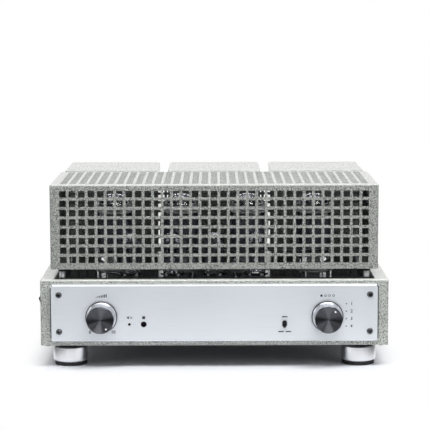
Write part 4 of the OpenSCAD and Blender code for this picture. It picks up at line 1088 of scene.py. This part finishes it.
def small_tube_anode():
    """Two rounded boxes side by side, each with a flange at its front and rear."""
    box_w, box_d, box_r, box_x = 6.2 * MM, 8.6 * MM, 1.6 * MM, 4.4 * MM
    flange_t, flange_d, flange_r, flange_y = 0.7 * MM, 2.4 * MM, 0.3 * MM, 5.2 * MM
    low = SMALL_STAND + 0.8 * MM
    bm = bmesh.new()
    for sx in SIDES:
        x = sx * box_x
        add_prism(bm, rounded_rectangle(box_w, box_d, box_r, (x, 0), 4), low, SMALL_STACK_TOP)
        for sy in SIDES:
            flange = rounded_rectangle(flange_t, flange_d, flange_r, (x, sy * flange_y), 3)
            add_prism(bm, flange, low, SMALL_STACK_TOP)
    return settle(object_from(bm, "small_tube_anode"))


def small_tube_wires():
    """A lead from each pin, and a ring on a mast."""
    lead_r, mast_r, ring_wire_r, ring_r = 0.3 * MM, 0.35 * MM, 0.55 * MM, 3.0 * MM
    lean = 0.9
    foot_z = BUTTON_H - 0.4 * MM
    mast_low, mast_top = SMALL_STACK_TOP + 0.7 * MM, SMALL_STACK_TOP + 5.2 * MM
    bm = bmesh.new()
    for x, y in SMALL_PIN_PLACES:
        add_wire(bm, [(x, y, foot_z), (x * lean, y * lean, SMALL_STAND)], lead_r, 8)
    add_wire(bm, [(0, 0, mast_low), (0, 0, mast_top)], mast_r, 8)
    add_wire(bm, [(x, y, mast_top) for x, y in circle(ring_r, 28)], ring_wire_r, closed=True)
    return settle(object_from(bm, "small_tube_wires"))


def small_tube_pieces():
    """Each piece of a small tube with its material."""
    button_outline = [(0, 0), (SMALL_R - 0.3 * MM, 0), (SMALL_R, BUTTON_H), (0, BUTTON_H)]
    button = turned("small_tube_button", rounded(button_outline, 0.6 * MM))
    pins = pin_ring("small_tube_pins", SMALL_PIN_PLACES, 0.55 * MM, SMALL_PIN_L, 0)
    anode = small_tube_anode()
    levels = (SMALL_STAND, SMALL_STACK_TOP + 0.1 * MM)
    mica = mica_discs("small_tube_mica", 9.1 * MM, 16, 0.5 * MM, 0.6 * MM, levels)
    wires = small_tube_wires()
    outline = [(SMALL_R, BUTTON_H)] + dome_outline(SMALL_R, SMALL_H - SMALL_R, SMALL_H, 0.7)
    inner = [(max(0.0, r - SMALL_T), max(BUTTON_H, z - SMALL_T)) for r, z in outline]
    glass = turned("small_tube_bulb", outline + inner[::-1])
    flash = flash_film("small_tube_flash", outline, SMALL_H - 0.85 * SMALL_R, SMALL_T + 0.2 * MM)
    return [(button, GLASS), (pins, NICKEL), (anode, ANODE), (mica, MICA), (wires, NICKEL), (glass, GLASS),
            (flash, GETTER)]


def small_tubes():
    rise = Vector((0, 0, SMALL_PIN_L))
    places = [underside("small_tube_%d" % number) + rise for number in TUBE_NUMBERS]
    for piece, material in small_tube_pieces():
        for number, one in zip(TUBE_NUMBERS, copies(piece, places)):
            node = "small_tube_%d" % number
            dress(one, material, node, [node])


# Finish of the nodes whose solids stay

FINISHES = {
    # The cage lip's near-black paint is painted shade; the bottom plate's is its own colour.
    HAMMERTONE: "rear_panel", DARK_PAINT_AND_PAINTED_SHADE: "bottom_plate cage_lip", BLACK_PAINT: "deck_plate",
    BLACK_OXIDE: "case_screws", RUBBER: "foot_collars", POST_METAL: "cage_posts", IRON: "transformer_cores",
    COPPER: "transformer_coils", STEEL: "power_sockets volume_shaft volume_control selector_shaft",
    DARK_CHROME: "small_sockets", PHENOLIC: "selector_switch", CHROME: "control_nuts",
    DULL_BLACK: "mode_lever mode_switch", LAMP_LENS: "mute_lamp", WINDOW_LENS: "remote_window",
    PLASTIC: "cage_pins power_rocker power_switch mains_inlet fuse_drawer",
    GOLD: "speaker_posts input_jacks", BOARD: "circuit_boards", SLEEVE: "filter_capacitors",
    BLACK_CAP: "speaker_cap_1 speaker_cap_4",
    RED_CAP: "speaker_cap_2 speaker_cap_3 speaker_cap_5 speaker_cap_6",
}


def finish_nodes():
    for material, nodes in FINISHES.items():
        for node in nodes.split():
            mesh = frame["nodes"][node].data
            mesh.materials.clear()
            mesh.materials.append(material)


# Stage: floor, light and camera

def ray_kinds(tree):
    """Whether the camera looks, and whether a mirror or glass does."""
    path = add_node(tree, "LightPath").outputs
    mirrored = calculate(tree, "MAXIMUM", path["Is Glossy Ray"], path["Is Transmission Ray"])
    return path["Is Camera Ray"], mirrored


def floor():
    """Pale and plain under the object, and white to the camera round it.

    To mirrors the white ends a little before the object and at its sides, and the rest is dim.
    """
    half = 6.0
    half_w, half_d = 0.2, 0.145
    lit, dim = 1.25, 0.06
    bm = bmesh.new()
    bmesh.ops.create_grid(bm, x_segments=1, y_segments=1, size=half)
    ground = object_from(bm, "floor")
    made, tree, shader = shader_tree("floor")
    set_shader(shader, base_color=(0.91, 0.93, 0.97), roughness=0.6)
    split = add_node(tree, "SeparateXYZ", {0: position(tree)})
    aside = calculate(tree, "ABSOLUTE", split.outputs["X"])
    ahead = calculate(tree, "ABSOLUTE", split.outputs["Y"])
    past_side = calculate(tree, "SUBTRACT", aside, half_w)
    past_front = calculate(tree, "SUBTRACT", ahead, half_d)
    fade = spread(tree, calculate(tree, "MAXIMUM", past_side, past_front), -0.02, 0.03, 0.0, 1.0)
    patch_x = spread(tree, aside, 0.20, 0.28, lit, dim)
    patch_y = spread(tree, split.outputs["Y"], -0.38, -0.27, dim, lit)
    camera_ray, mirrored = ray_kinds(tree)
    level = blend(tree, camera_ray, calculate(tree, "MINIMUM", patch_x, patch_y), 1.0)
    glow = add_node(tree, "Emission", {"Color": (1, 1, 1, 1), "Strength": level})
    share = calculate(tree, "MULTIPLY", calculate(tree, "MAXIMUM", camera_ray, mirrored), fade)
    mix_surface(tree, share, shader.outputs["BSDF"], glow.outputs["Emission"])
    ground.data.materials.append(made)


def world():
    """White to the camera, a weak blue fill to the surfaces, and to mirrors bright behind and above."""
    made = bpy.data.worlds.new("studio")
    made.use_nodes = True
    tree = made.node_tree
    background = tree.nodes["Background"]
    coords = add_node(tree, "TexCoord")
    split = add_node(tree, "SeparateXYZ", {0: coords.outputs["Generated"]})
    fill, dim = 0.12, 0.08
    behind = spread(tree, split.outputs["Y"], 0.5, 0.85, dim, 1.0)
    above = spread(tree, split.outputs["Z"], 0.75, 0.95, dim, 1.5)
    camera_ray, mirrored = ray_kinds(tree)
    level = blend(tree, mirrored, fill, calculate(tree, "MAXIMUM", behind, above))
    tree.links.new(blend(tree, camera_ray, level, 1.0), background.inputs["Strength"])
    seen = calculate(tree, "MAXIMUM", camera_ray, mirrored)
    colour = ramp(tree, seen, (0.0, (0.80, 0.90, 1.0)), (1.0, 1.0))
    tree.links.new(colour, background.inputs["Color"])
    bpy.context.scene.world = made


def softbox(name, place, width, height, power, target=(0, 0, 0.1)):
    light = bpy.data.lights.new(name, "AREA")
    light.shape = "RECTANGLE"
    light.size = width
    light.size_y = height
    light.energy = power
    lamp = new_object(name, light)
    lamp.location = place
    lamp.rotation_euler = (Vector(target) - Vector(place)).to_track_quat("-Z", "Y").to_euler()


def lights():
    softbox("key_box", (0.2, -0.93, 1.37), width=1.4, height=0.3, power=25.5, target=(0, -0.1, 0.1))
    softbox("top_box", (0.1, 0.32, 1.4), width=1.5, height=0.4, power=4)
    softbox("rear_box", (0, 1.9, 1.3), width=1.4, height=0.6, power=9)
    softbox("rear_left_box", (-1.5, 1.5, 0.8), width=1.0, height=0.9, power=6)
    softbox("rear_right_box", (1.5, 1.5, 0.8), width=1.0, height=0.9, power=6)
    softbox("left_box", (-1.76, -0.71, 0.75), width=1.4, height=0.9, power=7)
    softbox("right_box", (1.65, -0.95, 0.75), width=1.4, height=0.9, power=7)


def camera():
    """The photograph's view: from a little above, a touch right of the middle, with no shift."""
    place = (1.0 * MM, -2002.2 * MM, 421.4 * MM)
    look_down, roll = radians(7.424), radians(-0.15)
    data = bpy.data.cameras.new("camera")
    data.sensor_width = 36
    data.lens = 138.14
    data.clip_end = 20
    eye = new_object("camera", data)
    turn = Matrix.Rotation(pi / 2 - look_down, 4, "X") @ Matrix.Rotation(roll, 4, "Z")
    eye.matrix_world = Matrix.Translation(place) @ turn
    bpy.context.scene.camera = eye


chassis()
covers()
cage()
front_panel()
volume_print()
selector_print()
sensor_print()
mode_print()
rear_print()
knob("volume_knob", "volume", 148)
knob("selector_knob", "selector", 40)
feet()
panel_screws()
power_tubes()
small_tubes()
finish_nodes()
floor()
world()
lights()
camera()
bpy.context.scene.view_settings.view_transform = "Standard"
